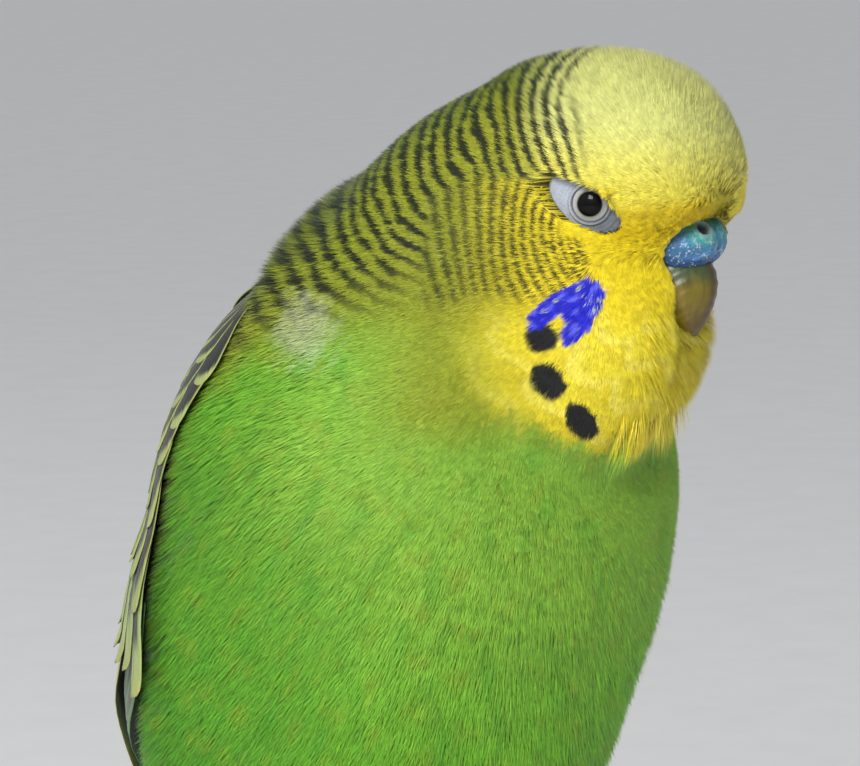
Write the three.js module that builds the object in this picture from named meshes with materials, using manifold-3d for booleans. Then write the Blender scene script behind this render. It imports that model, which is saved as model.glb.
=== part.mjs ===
// A life-size show budgerigar on a short perch, held up by a plain stand.
// Millimetres, +Z up. The bird faces -Y, its left is +X. The origin is the middle of the base's underside.
import * as THREE from "three";
import { mergeVertices } from "three/addons/utils/BufferGeometryUtils.js";
import Module from "manifold-3d";

const wasm = await Module();
wasm.setup();

// Driving dimensions
const PITCH = 62; // degrees of the body's axis above the horizontal
const HEAD_YAW = 22; // degrees that the head turns to the bird's left
const BODY_HEIGHT = 143; // of the middle of the body over the floor
const GAP = 0.3; // between pieces that touch
const COAT_CLEAR = 0.75; // of the wing over the smooth body, so that facets keep the gap
const BODY_WIDTH = 71;
const BODY_DEPTH = 61;
const BODY_LENGTH = 96;
const HEAD_FORWARD = 34; // the head's middle, forward of the body's
const HEAD_RISE = 50; // and above it
const HEAD_SIDE = 4; // and to its left, as the turned neck carries it
const TAIL_REACH = 142; // from the middle of the body to the tail's tip
const PERCH_RADIUS = 6.5;
const PERCH_LENGTH = 96;
const BASE_THICK = 8;

// Colours
const COLOURS = {
  yellow: 0xd7c433, green: 0x6f9f35, barred: 0x8a9038, dark: 0x2c3026, violet: 0x2a35b0, cere: 0x3c6a88,
  horn: 0x7f6a20, eye: 0x101010, lid: 0xa6a9a2, skin: 0x8f8790, claw: 0x3a3536, tail: 0x24466a,
  bark: 0x8a6f52, stand: 0xb99b74, rod: 0x9a9da0,
};

// Frames
const rad = THREE.MathUtils.degToRad;
const V = (x, y, z) => new THREE.Vector3(x, y, z);
const CENTRE = V(0, 0, BODY_HEIGHT);
const SIDE = V(1, 0, 0);
const CRANIAL = V(0, -Math.cos(rad(PITCH)), Math.sin(rad(PITCH)));
const DORSAL = V(0, Math.sin(rad(PITCH)), Math.cos(rad(PITCH)));
const BODY = { origin: CENTRE, axes: [SIDE, DORSAL, CRANIAL] };
const HEAD = {
  origin: V(HEAD_SIDE, -HEAD_FORWARD, BODY_HEIGHT + HEAD_RISE),
  axes: [
    V(Math.sin(rad(HEAD_YAW)), -Math.cos(rad(HEAD_YAW)), 0), // forward
    V(Math.cos(rad(HEAD_YAW)), Math.sin(rad(HEAD_YAW)), 0), // left
    V(0, 0, 1),
  ],
};
const at = (frame, a, b, c) =>
  frame.origin.clone()
    .addScaledVector(frame.axes[0], a)
    .addScaledVector(frame.axes[1], b)
    .addScaledVector(frame.axes[2], c);
// body: side, dorsal, cranial. head: forward, left, up.
const body = (x, d, s) => at(BODY, x, d, s);
const head = (f, l, u) => at(HEAD, f, l, u);
const mix = (a, b, t) => a + (b - a) * t;
const smooth = (t) => t * t * (3 - 2 * t);
const clamp01 = (t) => Math.min(1, Math.max(0, t));

// The plumage's outer form: ellipsoids blended into one another
const form = (middle, frame, half, blend) => ({ middle, frame, half, blend });
const FORMS = [
  form(body(0, 0, -5), BODY, [BODY_WIDTH / 2, BODY_DEPTH / 2, BODY_LENGTH / 2], 0), // torso
  form(body(0, -1, 10), BODY, [31, 23.5, 26], 8), // breast
  form(body(0, -7, -27), BODY, [31, 25.5, 34], 10), // belly
  form(body(0, 6.5, -60), BODY, [13.5, 10, 27], 14), // rump
  form(body(0, 14, 18), BODY, [27, 18.5, 28], 10), // mantle
  form(head(-20.5, 4, -13), BODY, [19.5, 16.5, 20], 14), // neck
  form(head(-14.5, 0, -4.5), HEAD, [15, 15, 16.5], 12), // nape
  form(head(-1.5, 0, 2.4), HEAD, [17, 15, 15.5], 8), // skull
  form(head(5.4, 0, 3.4), HEAD, [10.8, 13, 10.8], 6), // brow
  form(head(0, 0, -9), HEAD, [10.5, 13.5, 13], 6), // mask
  form(head(-0.5, 0, -20), HEAD, [10, 14.5, 13], 8), // bib
  ...[1, -1].flatMap((side) => [
    form(body(side * 17.2, 13.2, 9), BODY, [12.3, 13.3, 20], 6), // shoulder
    form(body(side * 14.5, -13, -2), BODY, [13.5, 12, 17], 5), // flank
  ]),
];
// Room for the root of the tail under the tips of the wings: the wings lie on it, and it isn't built.
const TAIL_ROOM = form(body(0, 6, -80), BODY, [10, 5, 40], 8);

function fromEllipsoid(p, { middle, frame, half }) {
  const q = p.clone().sub(middle);
  let a = 0;
  let b = 0;
  frame.axes.forEach((axis, i) => {
    const x = q.dot(axis) / half[i];
    a += x * x;
    b += (x / half[i]) ** 2;
  });
  const k = Math.sqrt(a);
  return (k * (k - 1)) / (Math.sqrt(b) + 1e-9);
}
function blended(p, forms) {
  return forms.reduce((far, next) => {
    const e = fromEllipsoid(p, next);
    if (far === null) return e;
    const h = Math.max(next.blend - Math.abs(far - e), 0) / (next.blend || 1);
    return Math.min(far, e) - (h * h * next.blend) / 4;
  }, null);
}
const plumage = (p) => blended(p, FORMS);
const underWing = (p) => blended(p, [...FORMS, TAIL_ROOM]);

// Goes from a point inside along a direction, to where the surface is `out` outside its own form.
const STEPS = 60;
const DAMPING = 0.9; // share of the distance that each step goes
function reach(surface, from, way, out = 0) {
  const p = from.clone();
  for (let i = 0; i < STEPS; i++) p.addScaledVector(way, Math.max(out - surface(p), -1) * DAMPING);
  return p;
}

// Closed meshes

// rings: arrays of as many points each. start and end: the points that close them.
function closedRings(rings, start, end) {
  const points = [start, ...rings.flat(), end];
  const n = rings[0].length;
  const index = [];
  const v = (i, j) => 1 + i * n + (j % n);
  const last = points.length - 1;
  for (let j = 0; j < n; j++) {
    index.push(0, v(0, j + 1), v(0, j));
    index.push(last, v(rings.length - 1, j), v(rings.length - 1, j + 1));
    for (let i = 0; i + 1 < rings.length; i++) {
      index.push(v(i, j), v(i, j + 1), v(i + 1, j + 1));
      index.push(v(i, j), v(i + 1, j + 1), v(i + 1, j));
    }
  }
  return meshOf(points, index);
}
function meshOf(points, index) {
  const flat = points.flatMap((p) => [p.x, p.y, p.z]);
  const g = new THREE.BufferGeometry();
  g.setAttribute("position", new THREE.Float32BufferAttribute(flat, 3));
  g.setIndex(index);
  return g;
}
const middleOf = (ring) =>
  ring.reduce((sum, p) => sum.add(p), V(0, 0, 0)).divideScalar(ring.length);

// Booleans
const MERGE = 1e-4;
function solid(geometry, nearness = MERGE) {
  const g = geometry.clone();
  g.deleteAttribute("normal");
  g.deleteAttribute("uv");
  const merged = mergeVertices(g, nearness);
  const vertProperties = merged.attributes.position.array;
  const make = (triVerts) => new wasm.Manifold(new wasm.Mesh({ numProp: 3, vertProperties, triVerts }));
  const made = make(new Uint32Array(merged.index.array));
  if (made.volume() > 0) return made;
  const turned = new Uint32Array(merged.index.array);
  for (let i = 0; i < turned.length; i += 3) {
    [turned[i + 1], turned[i + 2]] = [turned[i + 2], turned[i + 1]];
  }
  return make(turned);
}
// Keeps the largest closed surface of a solid.
function largest(made) {
  return made.decompose().reduce((a, b) => (b.volume() > a.volume() ? b : a));
}
const join = (solids) => solids.reduce((a, b) => a.add(b));
const COLLAPSE = 0.02; // edges shorter than this are slivers left by a boolean
function geometryOf(made) {
  const mesh = made.simplify(COLLAPSE).getMesh();
  const n = mesh.numProp;
  const points = [];
  for (let i = 0; i < mesh.numVert; i++) points.push(V(...mesh.vertProperties.subarray(i * n, i * n + 3)));
  return meshOf(points, [...mesh.triVerts]);
}

const model = new THREE.Group();
const ROUNDING = 1e-3; // vertices nearer than this come together in the finished mesh
function addNode(name, made, colour, roughness = 0.8, metalness = 0) {
  const rounded = solid(geometryOf(largest(made)), ROUNDING);
  const mesh = new THREE.Mesh(
    geometryOf(largest(rounded)),
    new THREE.MeshStandardMaterial({ color: colour, roughness, metalness }),
  );
  mesh.name = name;
  model.add(mesh);
}

// The body's flesh: rings cast outward from a spine that runs from the face to the tail's root
const AROUND = 24;
const SPINE = [
  { middle: head(-1, 0, -2), turn: 0 },
  { middle: head(-7, 0, -5), turn: 0.12 },
  { middle: head(-13, 2, -12), turn: 0.36 },
  { middle: body(0, 4, 25), turn: 0.74 },
  { middle: body(0, 1, 9), turn: 1 },
  { middle: body(0, 0, -8), turn: 1 },
  { middle: body(0, 1, -28), turn: 1 },
  { middle: body(0, 4, -46), turn: 1 },
  { middle: body(0, 7, -62), turn: 1 },
];
const spineCurve = new THREE.CatmullRomCurve3(SPINE.map((k) => k.middle), false, "catmullrom", 0.5);
const SPANS = SPINE.length - 1;
function turnAt(u) {
  const t = clamp01(u) * SPANS;
  const i = Math.min(Math.floor(t), SPANS - 1);
  return mix(SPINE[i].turn, SPINE[i + 1].turn, t - i);
}
// The plane of a ring: `travel` runs on towards the tail, `left` and `back` lie in the plane.
function planeAt(u) {
  const turn = turnAt(u);
  const side = HEAD.axes[1].clone().lerp(SIDE, turn).normalize();
  const travel = HEAD.axes[0].clone().negate().lerp(CRANIAL.clone().negate(), turn).normalize();
  const back = side.clone().cross(travel).normalize();
  const left = travel.clone().cross(back).normalize();
  return { middle: spineCurve.getPoint(clamp01(u)), travel, left, back };
}
// lean: degrees that the rays lean on, -90 at the face's pole and 90 at the tail's
function ring(u, lean = 0) {
  const { middle, travel, left, back } = planeAt(u);
  const points = [];
  for (let j = 0; j < AROUND; j++) {
    const a = (2 * Math.PI * j) / AROUND;
    const way = left.clone().multiplyScalar(Math.sin(a)).addScaledVector(back, Math.cos(a))
      .multiplyScalar(Math.cos(rad(lean))).addScaledVector(travel, Math.sin(rad(lean)));
    points.push(reach(plumage, middle, way));
  }
  return points;
}
const FACE_LEANS = [-80, -68, -56, -45, -34, -23, -12];
const TAIL_LEANS = [25, 50, 72];
const BODY_RINGS = 25;
function flesh() {
  const rings = FACE_LEANS.map((lean) => ring(0, lean));
  for (let i = 0; i <= BODY_RINGS; i++) rings.push(ring(i / BODY_RINGS));
  TAIL_LEANS.forEach((lean) => rings.push(ring(1, lean)));
  const face = planeAt(0);
  const rear = planeAt(1);
  const start = reach(plumage, face.middle, face.travel.clone().negate());
  return solid(closedRings(rings, start, reach(plumage, rear.middle, rear.travel)));
}
// A vane or plate: stations along it, each with points across it, of an upper and a lower face
function slab(upper, lower) {
  const across = upper[0].length;
  const rings = upper.map((row, i) => [...row, ...[...lower[i]].reverse()]);
  const n = across * 2;
  const points = rings.flat();
  const index = [];
  const v = (i, j) => i * n + (j % n);
  for (let i = 0; i + 1 < rings.length; i++) {
    for (let j = 0; j < n; j++) {
      const mirrored = j >= across; // the same diagonals on both faces
      if (mirrored) {
        index.push(v(i, j), v(i + 1, j + 1), v(i + 1, j));
        index.push(v(i, j), v(i, j + 1), v(i + 1, j + 1));
      } else {
        index.push(v(i, j), v(i, j + 1), v(i + 1, j));
        index.push(v(i, j + 1), v(i + 1, j + 1), v(i + 1, j));
      }
    }
  }
  const lastRow = rings.length - 1;
  for (let j = 0; j + 1 < across; j++) {
    const k = n - 1 - j;
    const z = lastRow;
    index.push(v(0, j), v(0, k), v(0, k - 1), v(0, j), v(0, k - 1), v(0, j + 1));
    index.push(v(z, j), v(z, k - 1), v(z, k), v(z, j), v(z, j + 1), v(z, k - 1));
  }
  return solid(meshOf(points, index));
}

// Wings: each point is given by its place along the body, its angle round from the middle of the back,
// and its height over the coat.
const AXIS_HEAD = { s: -20, d: 0 };
const AXIS_TAIL = { s: -62, d: 5.5 };
function wingPoint(side, s, angle, height) {
  const t = clamp01((s - AXIS_HEAD.s) / (AXIS_TAIL.s - AXIS_HEAD.s));
  const from = body(0, mix(AXIS_HEAD.d, AXIS_TAIL.d, smooth(t)), s);
  const way = SIDE.clone().multiplyScalar(side * Math.sin(rad(angle)))
    .addScaledVector(DORSAL, Math.cos(rad(angle)));
  return reach(underWing, from, way, COAT_CLEAR + height);
}
function radiusAt(side, s, angle) {
  const p = wingPoint(side, s, angle, 0).sub(CENTRE);
  return Math.hypot(p.dot(SIDE), p.dot(DORSAL));
}
// A feather of the wing. Its root and tip are given along the body (s) and across the wing (w). Its height
// rises from low to high, and its front edge is tilted up, over the back edge of the feather before it.
function wingFeather(side, f) {
  const upper = [];
  const lower = [];
  for (let i = 0; i <= f.stations; i++) {
    const t = i / f.stations;
    const s = mix(f.root.s, f.tip.s, t);
    const middle = acrossWing(s, mix(f.root.w, f.tip.w, t));
    const half = (f.wide / 2) * vaneWidth(t);
    const spread = THREE.MathUtils.radToDeg(half / radiusAt(side, s, middle));
    const height = mix(f.low, f.high, t);
    const up = [];
    const down = [];
    for (const edge of [-1, 0, 1]) {
      const lift = Math.max(height - f.tilt * edge, 0);
      up.push(wingPoint(side, s, middle - edge * spread, lift + f.thick));
      down.push(wingPoint(side, s, middle - edge * spread, lift));
    }
    upper.push(up);
    lower.push(down);
  }
  return slab(upper, lower);
}
// Half a feather's width along it: a narrow root, full by the middle, round at the tip
const VANE = { root: 0.55, full: 0.35, rounds: 0.72, tip: 0.28 };
function vaneWidth(t) {
  const root = mix(VANE.root, 1, smooth(clamp01(t / VANE.full)));
  const past = Math.max(t - VANE.rounds, 0) / (1.02 - VANE.rounds);
  return root * Math.max(Math.sqrt(1 - past * past), VANE.tip);
}
// Outline of the folded wing: the angles of its leading and trailing edges from the middle of the back
const WING = { shoulder: 31, core: -36, tip: -88, thick: 1.9 };
const fade = (s, from, to) => smooth(clamp01((s - from) / (to - from)));
function leading(s) {
  const shoulder = -14 * fade(s, 20, WING.shoulder);
  const flank = 26 * fade(s, 6, -26);
  const tips = -58 * fade(s, -26, WING.tip);
  return 58 + shoulder + flank + tips;
}
const trailing = (s) => 9 + 26 * fade(s, 4, WING.shoulder);
// w runs across the wing from its leading edge (0) to its trailing edge (1)
const acrossWing = (s, w) => mix(leading(s), trailing(s), w);
function wingSheet(side, to, along, wide) {
  const upper = [];
  const lower = [];
  for (let i = 0; i <= along; i++) {
    const t = i / along;
    const s = mix(WING.shoulder, to, t);
    const up = [];
    const down = [];
    for (let j = 0; j <= wide; j++) {
      const w = j / wide;
      const edge = Math.min(1, 4 * w, 4 * (1 - w), 5 * t + 0.1, 5 * (1 - t) + 0.25);
      up.push(wingPoint(side, s, acrossWing(s, w), 0.55 + WING.thick * Math.sqrt(edge)));
      down.push(wingPoint(side, s, acrossWing(s, w), 0));
    }
    upper.push(up);
    lower.push(down);
  }
  return slab(upper, lower);
}
// Tiers of feathers, each from the leading edge to the trailing edge of the wing
const TIERS = [
  // primaries
  { count: 8, root: [-12, -16], rootAcross: [0.1, 0.62], tip: [-88, -64], tipAcross: [0.45, 0.42],
    wide: 8, low: [0.15, 0.7], high: [0.2, 1.7], tilt: 0.2, thick: 0.55, stations: 4 },
  // secondaries
  { count: 8, root: [-12, -8], rootAcross: [0.42, 0.93], tip: [-61, -44], tipAcross: [0.3, 0.86],
    wide: 8.5, low: [1.0, 1.3], high: [1.5, 2.5], tilt: 0.3, thick: 0.55, stations: 4 },
  // greater coverts
  { count: 9, root: [0, 4], rootAcross: [0.08, 0.92], tip: [-22, -26], tipAcross: [0.03, 0.93],
    wide: 8, low: [1.4, 1.9], high: [2.2, 3.3], tilt: 0.3, thick: 0.55, stations: 3 },
  // median coverts
  { count: 7, root: [9, 12], rootAcross: [0.1, 0.9], tip: [-10, -9], tipAcross: [0.05, 0.92],
    wide: 8.5, low: [1.4, 1.8], high: [3.0, 3.5], tilt: 0.3, thick: 0.55, stations: 3 },
  // lesser coverts
  { count: 5, root: [18, 20], rootAcross: [0.12, 0.88], tip: [2, 4], tipAcross: [0.05, 0.9],
    wide: 8.5, low: [1.3, 1.6], high: [3.0, 3.4], tilt: 0.3, thick: 0.55, stations: 3 },
  // coverts of the shoulder
  { count: 4, root: [26, 28], rootAcross: [0.15, 0.85], tip: [13, 15], tipAcross: [0.06, 0.92],
    wide: 8, low: [1.2, 1.4], high: [2.8, 3.2], tilt: 0.3, thick: 0.55, stations: 3 },
];
function wing(side) {
  const made = [wingSheet(side, WING.core, 8, 5)];
  for (const tier of TIERS) {
    for (let k = 0; k < tier.count; k++) {
      const of = ([a, b]) => mix(a, b, k / (tier.count - 1));
      made.push(wingFeather(side, {
        ...tier,
        root: { s: of(tier.root), w: of(tier.rootAcross) },
        tip: { s: of(tier.tip), w: of(tier.tipAcross) },
        low: of(tier.low),
        high: of(tier.high),
      }));
    }
  }
  return join(made);
}

// Tail: long narrow vanes in pairs, the middle pair uppermost and longest, over the end of the body
const TAIL = {
  root: -63, longest: TAIL_REACH, pairs: 5, step: 13, wide: 8.5, rootFan: 0.9, fan: 2.1,
  layer: 0.7, top: 9.4, thick: 0.6, roof: 0.4, pointed: 0.55, stations: 7,
};
function tailVane(side, pair) {
  const level = TAIL.top - TAIL.layer * (pair + (side > 0 ? 0 : 0.5));
  const upper = [];
  const lower = [];
  for (let i = 0; i <= TAIL.stations; i++) {
    const t = i / TAIL.stations;
    const s = mix(TAIL.root, TAIL.step * pair - TAIL.longest, t);
    const x = side * mix(1 + TAIL.rootFan * pair, 1.6 + TAIL.fan * pair, t);
    const half = (TAIL.wide / 2) * mix(vaneWidth(t), Math.max(0.2, 1 - t * t), TAIL.pointed);
    const up = [];
    const down = [];
    for (const across of [-1, 0, 1]) {
      const sag = TAIL.roof * across * across; // the edges hang a little under the shaft
      up.push(body(x + side * across * half, level - sag + TAIL.thick, s));
      down.push(body(x + side * across * half, level - sag, s));
    }
    upper.push(up);
    lower.push(down);
  }
  return slab(upper, lower);
}
function tail() {
  const made = [afterCut(whole, tailCut)];
  for (const side of [-1, 1]) {
    for (let pair = 0; pair < TAIL.pairs; pair++) made.push(tailVane(side, pair));
  }
  return join(made);
}

// Closed forms along a path: `sections` gives each station's middle, two axes and their half sizes.
function lofted(sections, start, end, sides) {
  const rings = sections.map(({ middle, a, b, ha, hb, ridge = 1 }) => {
    const points = [];
    for (let j = 0; j < sides; j++) {
      const t = (2 * Math.PI * j) / sides;
      const c = Math.cos(t);
      const s = Math.sin(t);
      const narrow = c > 0 ? Math.pow(Math.abs(s), ridge) * Math.sign(s) : s;
      points.push(middle.clone().addScaledVector(a, ha * c).addScaledVector(b, hb * narrow));
    }
    return points;
  });
  return solid(closedRings(rings, start, end));
}
// A round tube through the points of a path, with its radius at each share of its length
function tube(path, radiusAt01, stations, sides) {
  const sections = [];
  let a = V(0, 0, 0);
  for (let i = 0; i <= stations; i++) {
    const t = i / stations;
    const along = path.getTangent(t);
    const guess = i ? a : Math.abs(along.z) > 0.9 ? V(1, 0, 0) : V(0, 0, 1);
    a = guess.clone().addScaledVector(along, -guess.dot(along)).normalize();
    const r = radiusAt01(t);
    sections.push({ middle: path.getPoint(t), a, b: along.clone().cross(a), ha: r, hb: r });
  }
  const first = path.getPoint(0).addScaledVector(path.getTangent(0), -radiusAt01(0) * 0.45);
  const final = path.getPoint(1).addScaledVector(path.getTangent(1), radiusAt01(1) * 0.45);
  return lofted(sections, first, final, sides);
}
const pathOf = (points) => new THREE.CatmullRomCurve3(points, false, "centripetal");
function ellipsoid(frame, middle, half, rows = 10, sides = 16, dent = () => 1) {
  const rings = [];
  const place = (polar, turn) => {
    const wide = Math.sin(polar);
    const unit = [wide * Math.cos(turn), wide * Math.sin(turn), Math.cos(polar)];
    const k = dent(...unit);
    const p = middle.clone();
    frame.axes.forEach((axis, i) => p.addScaledVector(axis, half[i] * unit[i] * k));
    return p;
  };
  for (let i = 1; i < rows; i++) {
    const points = [];
    const polar = (Math.PI * i) / rows;
    for (let j = 0; j < sides; j++) points.push(place(polar, (2 * Math.PI * j) / sides));
    rings.push(points);
  }
  return solid(closedRings(rings, place(0, 0), place(Math.PI, 0)));
}

// Beak: each station of the upper one has a point on its ridge, one on its inner side, and its half width
const UPPER_BEAK = [
  { ridge: [11.5, -6.0], inner: [5.5, -11.0], wide: 4.6 },
  { ridge: [13.6, -8.2], inner: [6.0, -13.0], wide: 4.8 },
  { ridge: [14.35, -10.5], inner: [7.2, -14.4], wide: 4.5 },
  { ridge: [14.0, -13.0], inner: [8.6, -15.4], wide: 3.8 },
  { ridge: [13.2, -15.1], inner: [9.2, -16.2], wide: 2.9 },
  { ridge: [12.1, -17.1], inner: [9.6, -17.0], wide: 1.75 },
];
const UPPER_TIP = [10.5, -18.6];
const LOWER_BEAK = [
  { ridge: [6.2, -13.6], inner: [3.2, -19.0], wide: 3.1 },
  { ridge: [9.4, -16.2], inner: [6.8, -20.2], wide: 3.3 },
  { ridge: [10.6, -17.6], inner: [9.4, -20.4], wide: 2.5 },
];
const LOWER_TIP = [11.1, -19.4];
const RIDGE = 1.25; // over 1, the ridge is sharper than a round
function beakForm(stations, tip, sides, more = 0) {
  const sections = stations.map(({ ridge, inner, wide }) => {
    const outer = head(ridge[0], 0, ridge[1]);
    const back = head(inner[0], 0, inner[1]);
    const a = outer.clone().sub(back);
    const ha = a.length() / 2 + more;
    const middle = outer.add(back).multiplyScalar(0.5);
    return { middle, a: a.normalize(), b: HEAD.axes[1], ha, hb: wide + more, ridge: RIDGE };
  });
  const before = sections[0].middle.clone().addScaledVector(HEAD.axes[0], -1 - more);
  const end = head(tip[0], 0, tip[1] - more);
  return lofted(sections, before, end, sides);
}

// Cere: two swellings with a crease between them, and a nostril in each
const CERE = {
  middle: head(9.6, 0, -5.7), half: [5.9, 6.5, 3.7], nostril: [13.7, 2.6, -3.3], nostrilRadius: 0.75,
  room: { middle: head(14, 0, -6.2), half: [8.0, 7.8, 4.5] }, // the notch in the face that it looks out of
};
const creased = (f, l) => 1 - 0.07 * Math.exp(-((l / 0.13) ** 2)) * clamp01(f * 2);
const cereForm = () => ellipsoid(HEAD, CERE.middle, CERE.half, 10, 20, creased);
const roundCere = () => ellipsoid(HEAD, CERE.middle, CERE.half.map((h) => h + GAP), 8, 14);
function nostril(side) {
  const [f, l, u] = CERE.nostril;
  const inner = head(f - 1.6, side * (l - 0.5), u - 1.4);
  const outer = head(f + 1.3, side * (l + 0.5), u + 1.2);
  return tube(new THREE.LineCurve3(inner, outer), (t) => CERE.nostrilRadius * (0.6 + 0.4 * t), 3, 10);
}

// Eyes: a ball, the bare skin with its lids round it, and the socket that both lie in
const EYE = {
  middle: [3, 13.1, 0], radius: 3.3, opening: 2.35, long: 4.4, short: 2.7, lean: 30, forward: 18,
};
function eyeFrame(side) {
  const out = HEAD.axes[1].clone().multiplyScalar(side * Math.cos(rad(EYE.forward)))
    .addScaledVector(HEAD.axes[0], Math.sin(rad(EYE.forward)));
  const back = HEAD.axes[0].clone().addScaledVector(out, -HEAD.axes[0].dot(out)).normalize().negate();
  const up = V(0, 0, 1);
  const c = Math.cos(rad(EYE.lean));
  const s = Math.sin(rad(EYE.lean));
  const long = back.clone().multiplyScalar(c).addScaledVector(up, s).normalize();
  const short = up.clone().multiplyScalar(c).addScaledVector(back, -s).normalize();
  const front = head(EYE.middle[0], side * EYE.middle[1], EYE.middle[2]);
  return { origin: front.clone().addScaledVector(out, -EYE.radius), axes: [out, long, short] };
}
function eyeBall(side, more = 0) {
  const frame = eyeFrame(side);
  const r = EYE.radius + more;
  return ellipsoid(frame, frame.origin, [r, r, r], more ? 8 : 10, more ? 12 : 16);
}
// The skin's outline round the eye: pointed behind, round in front
function skinReach(turn) {
  const c = Math.cos(turn);
  const s = Math.sin(turn);
  const round = 1 / Math.hypot(c / EYE.long, s / EYE.short);
  return c > 0 ? round * (1 + 0.16 * c ** 6) : round;
}
const SKIN_SIDES = 24;
function eyelid(side) {
  const frame = eyeFrame(side);
  const narrow = EYE.opening;
  const overBall = (r) => Math.sqrt((EYE.radius + GAP) ** 2 - r ** 2);
  const rim = overBall(narrow);
  const rings = [];
  for (let j = 0; j < SKIN_SIDES; j++) {
    const turn = (2 * Math.PI * j) / SKIN_SIDES;
    const wide = skinReach(turn);
    const spot = (r, h) => at(frame, h, r * Math.cos(turn), r * Math.sin(turn));
    rings.push([
      spot(narrow, rim), spot(narrow + 0.25, rim + 0.42), spot(narrow + 0.6, rim + 0.4),
      spot(wide, rim - 0.5), spot(wide, rim - 1.5), spot(narrow + 0.45, overBall(narrow + 0.45)),
    ]);
  }
  return solid(torusOf(rings));
}
function torusOf(rings) {
  const n = rings[0].length;
  const index = [];
  const v = (i, j) => (i % rings.length) * n + (j % n);
  rings.forEach((_, i) => {
    for (let j = 0; j < n; j++) {
      index.push(v(i, j), v(i, j + 1), v(i + 1, j + 1), v(i, j), v(i + 1, j + 1), v(i + 1, j));
    }
  });
  return meshOf(rings.flat(), index);
}
// The hollow in the face: round the ball, and as wide as the skin from there outward
function socket(side) {
  const frame = eyeFrame(side);
  const rim = Math.sqrt((EYE.radius + GAP) ** 2 - EYE.opening ** 2);
  const levels = [[rim - 1.5 - GAP, GAP], [rim - 0.4, GAP], [rim + 1.2, GAP + 0.9], [rim + 6, GAP + 4]];
  const rings = levels.map(([h, more]) => {
    const points = [];
    for (let j = 0; j < SKIN_SIDES; j++) {
      const turn = (2 * Math.PI * j) / SKIN_SIDES;
      const r = skinReach(turn) + more;
      points.push(at(frame, h, r * Math.cos(turn), r * Math.sin(turn)));
    }
    return points;
  });
  const dish = solid(closedRings(rings, middleOf(rings[0]), middleOf(rings[rings.length - 1])));
  return dish.add(eyeBall(side, GAP));
}

// Perch, and the feet that grip it: angles run round the perch from its top, positive to the front
const PERCH = { y: -3.5, z: 73.5, radius: PERCH_RADIUS };
const round = (x, angle, r) =>
  V(x, PERCH.y - r * Math.sin(rad(angle)), PERCH.z + r * Math.cos(rad(angle)));
const FOOT = { x: 9.5, toe: 1.35, rise: PERCH.radius + GAP };
// number, which way, sideways from the foot's middle at root and end, how far round, and the claw's reach
const TOES = [
  { number: 1, way: -1, root: -1.5, end: -3.4, to: 72, claw: 42 },
  { number: 2, way: 1, root: -1.5, end: -3.8, to: 92, claw: 44 },
  { number: 3, way: 1, root: 1.3, end: 2.2, to: 122, claw: 46 },
  { number: 4, way: -1, root: 1.5, end: 3.6, to: 112, claw: 44 },
];
const toeRadius = (t) => FOOT.toe * (1 - 0.22 * t) * (1 + 0.07 * Math.cos(6 * Math.PI * t));
function toe(side, k) {
  const points = [];
  const steps = 6;
  for (let i = 0; i <= steps; i++) {
    const t = i / steps;
    const x = side * (FOOT.x + mix(k.root, k.end, t));
    points.push(round(x, k.way * k.to * t, FOOT.rise + FOOT.toe * 1.1));
  }
  return tube(pathOf(points), toeRadius, 8, 6);
}
const TOE_END = 5.2; // degrees round the perch that a toe's rounded end takes
const CLAW_GAP = 3.2; // and those between it and its claw
function claw(side, k) {
  const points = [];
  const steps = 4;
  for (let i = 0; i <= steps; i++) {
    const t = i / steps;
    const x = side * (FOOT.x + k.end + (k.end - k.root) * 0.25 * t);
    const from = k.to + TOE_END + CLAW_GAP;
    points.push(round(x, k.way * (from + k.claw * t), FOOT.rise + 1.15 + 0.5 * t * t));
  }
  return tube(pathOf(points), (t) => 0.72 * (1 - 0.8 * t), 4, 6);
}
const shank = (side, more = 0) =>
  tube(pathOf([
    V(side * FOOT.x, PERCH.y + 0.2, PERCH.z + FOOT.rise + 1.6),
    V(side * (FOOT.x + 0.3), PERCH.y + 1.2, PERCH.z + FOOT.rise + 6),
    V(side * (FOOT.x + 0.8), PERCH.y + 2.6, PERCH.z + FOOT.rise + 14),
  ]), (t) => 1.55 + 0.35 * t + more, 6, 10);
function foot(side) {
  const palm = ellipsoid(
    { axes: [SIDE, V(0, 1, 0), V(0, 0, 1)] },
    V(side * FOOT.x, PERCH.y, PERCH.z + FOOT.rise + 1.9), [3.1, 3.0, 1.75], 8, 12,
  );
  return join([palm, shank(side), ...TOES.map((k) => toe(side, k))]);
}
const THIGH = { half: [6.3, 7.2, 10], rise: 22, back: 4.2 };
const thighForm = (side, more = 0) =>
  ellipsoid(BODY, V(side * (FOOT.x + 1), PERCH.y + THIGH.back, PERCH.z + THIGH.rise),
    THIGH.half.map((h) => h + more), 9, 14);

// Stand: a turned disc, a rod, and the cut length of perch on it
const STAND = { radius: 58, rod: 3, edge: 2, collar: 7, collarThick: 2.1 };
function turned(profile, sides) {
  const g = new THREE.LatheGeometry(profile.map(([r, z]) => new THREE.Vector2(r, z)), sides);
  g.rotateX(Math.PI / 2); // the lathe turns about Y
  return g;
}
function standBase() {
  const { radius, edge } = STAND;
  return solid(turned([
    [0, 0], [radius - edge, 0], [radius, edge], [radius, BASE_THICK - edge * 1.2],
    [radius - edge * 1.2, BASE_THICK], [0, BASE_THICK],
  ], 42));
}
function standRod() {
  const top = PERCH.z - PERCH.radius - GAP;
  const { collar, collarThick, rod } = STAND;
  const low = BASE_THICK + GAP;
  const g = turned([
    [0, low], [collar, low], [collar, low + collarThick], [rod, low + 1.8 * collarThick],
    [rod, top], [0, top],
  ], 24);
  return solid(g.translate(0, PERCH.y, 0));
}
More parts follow.
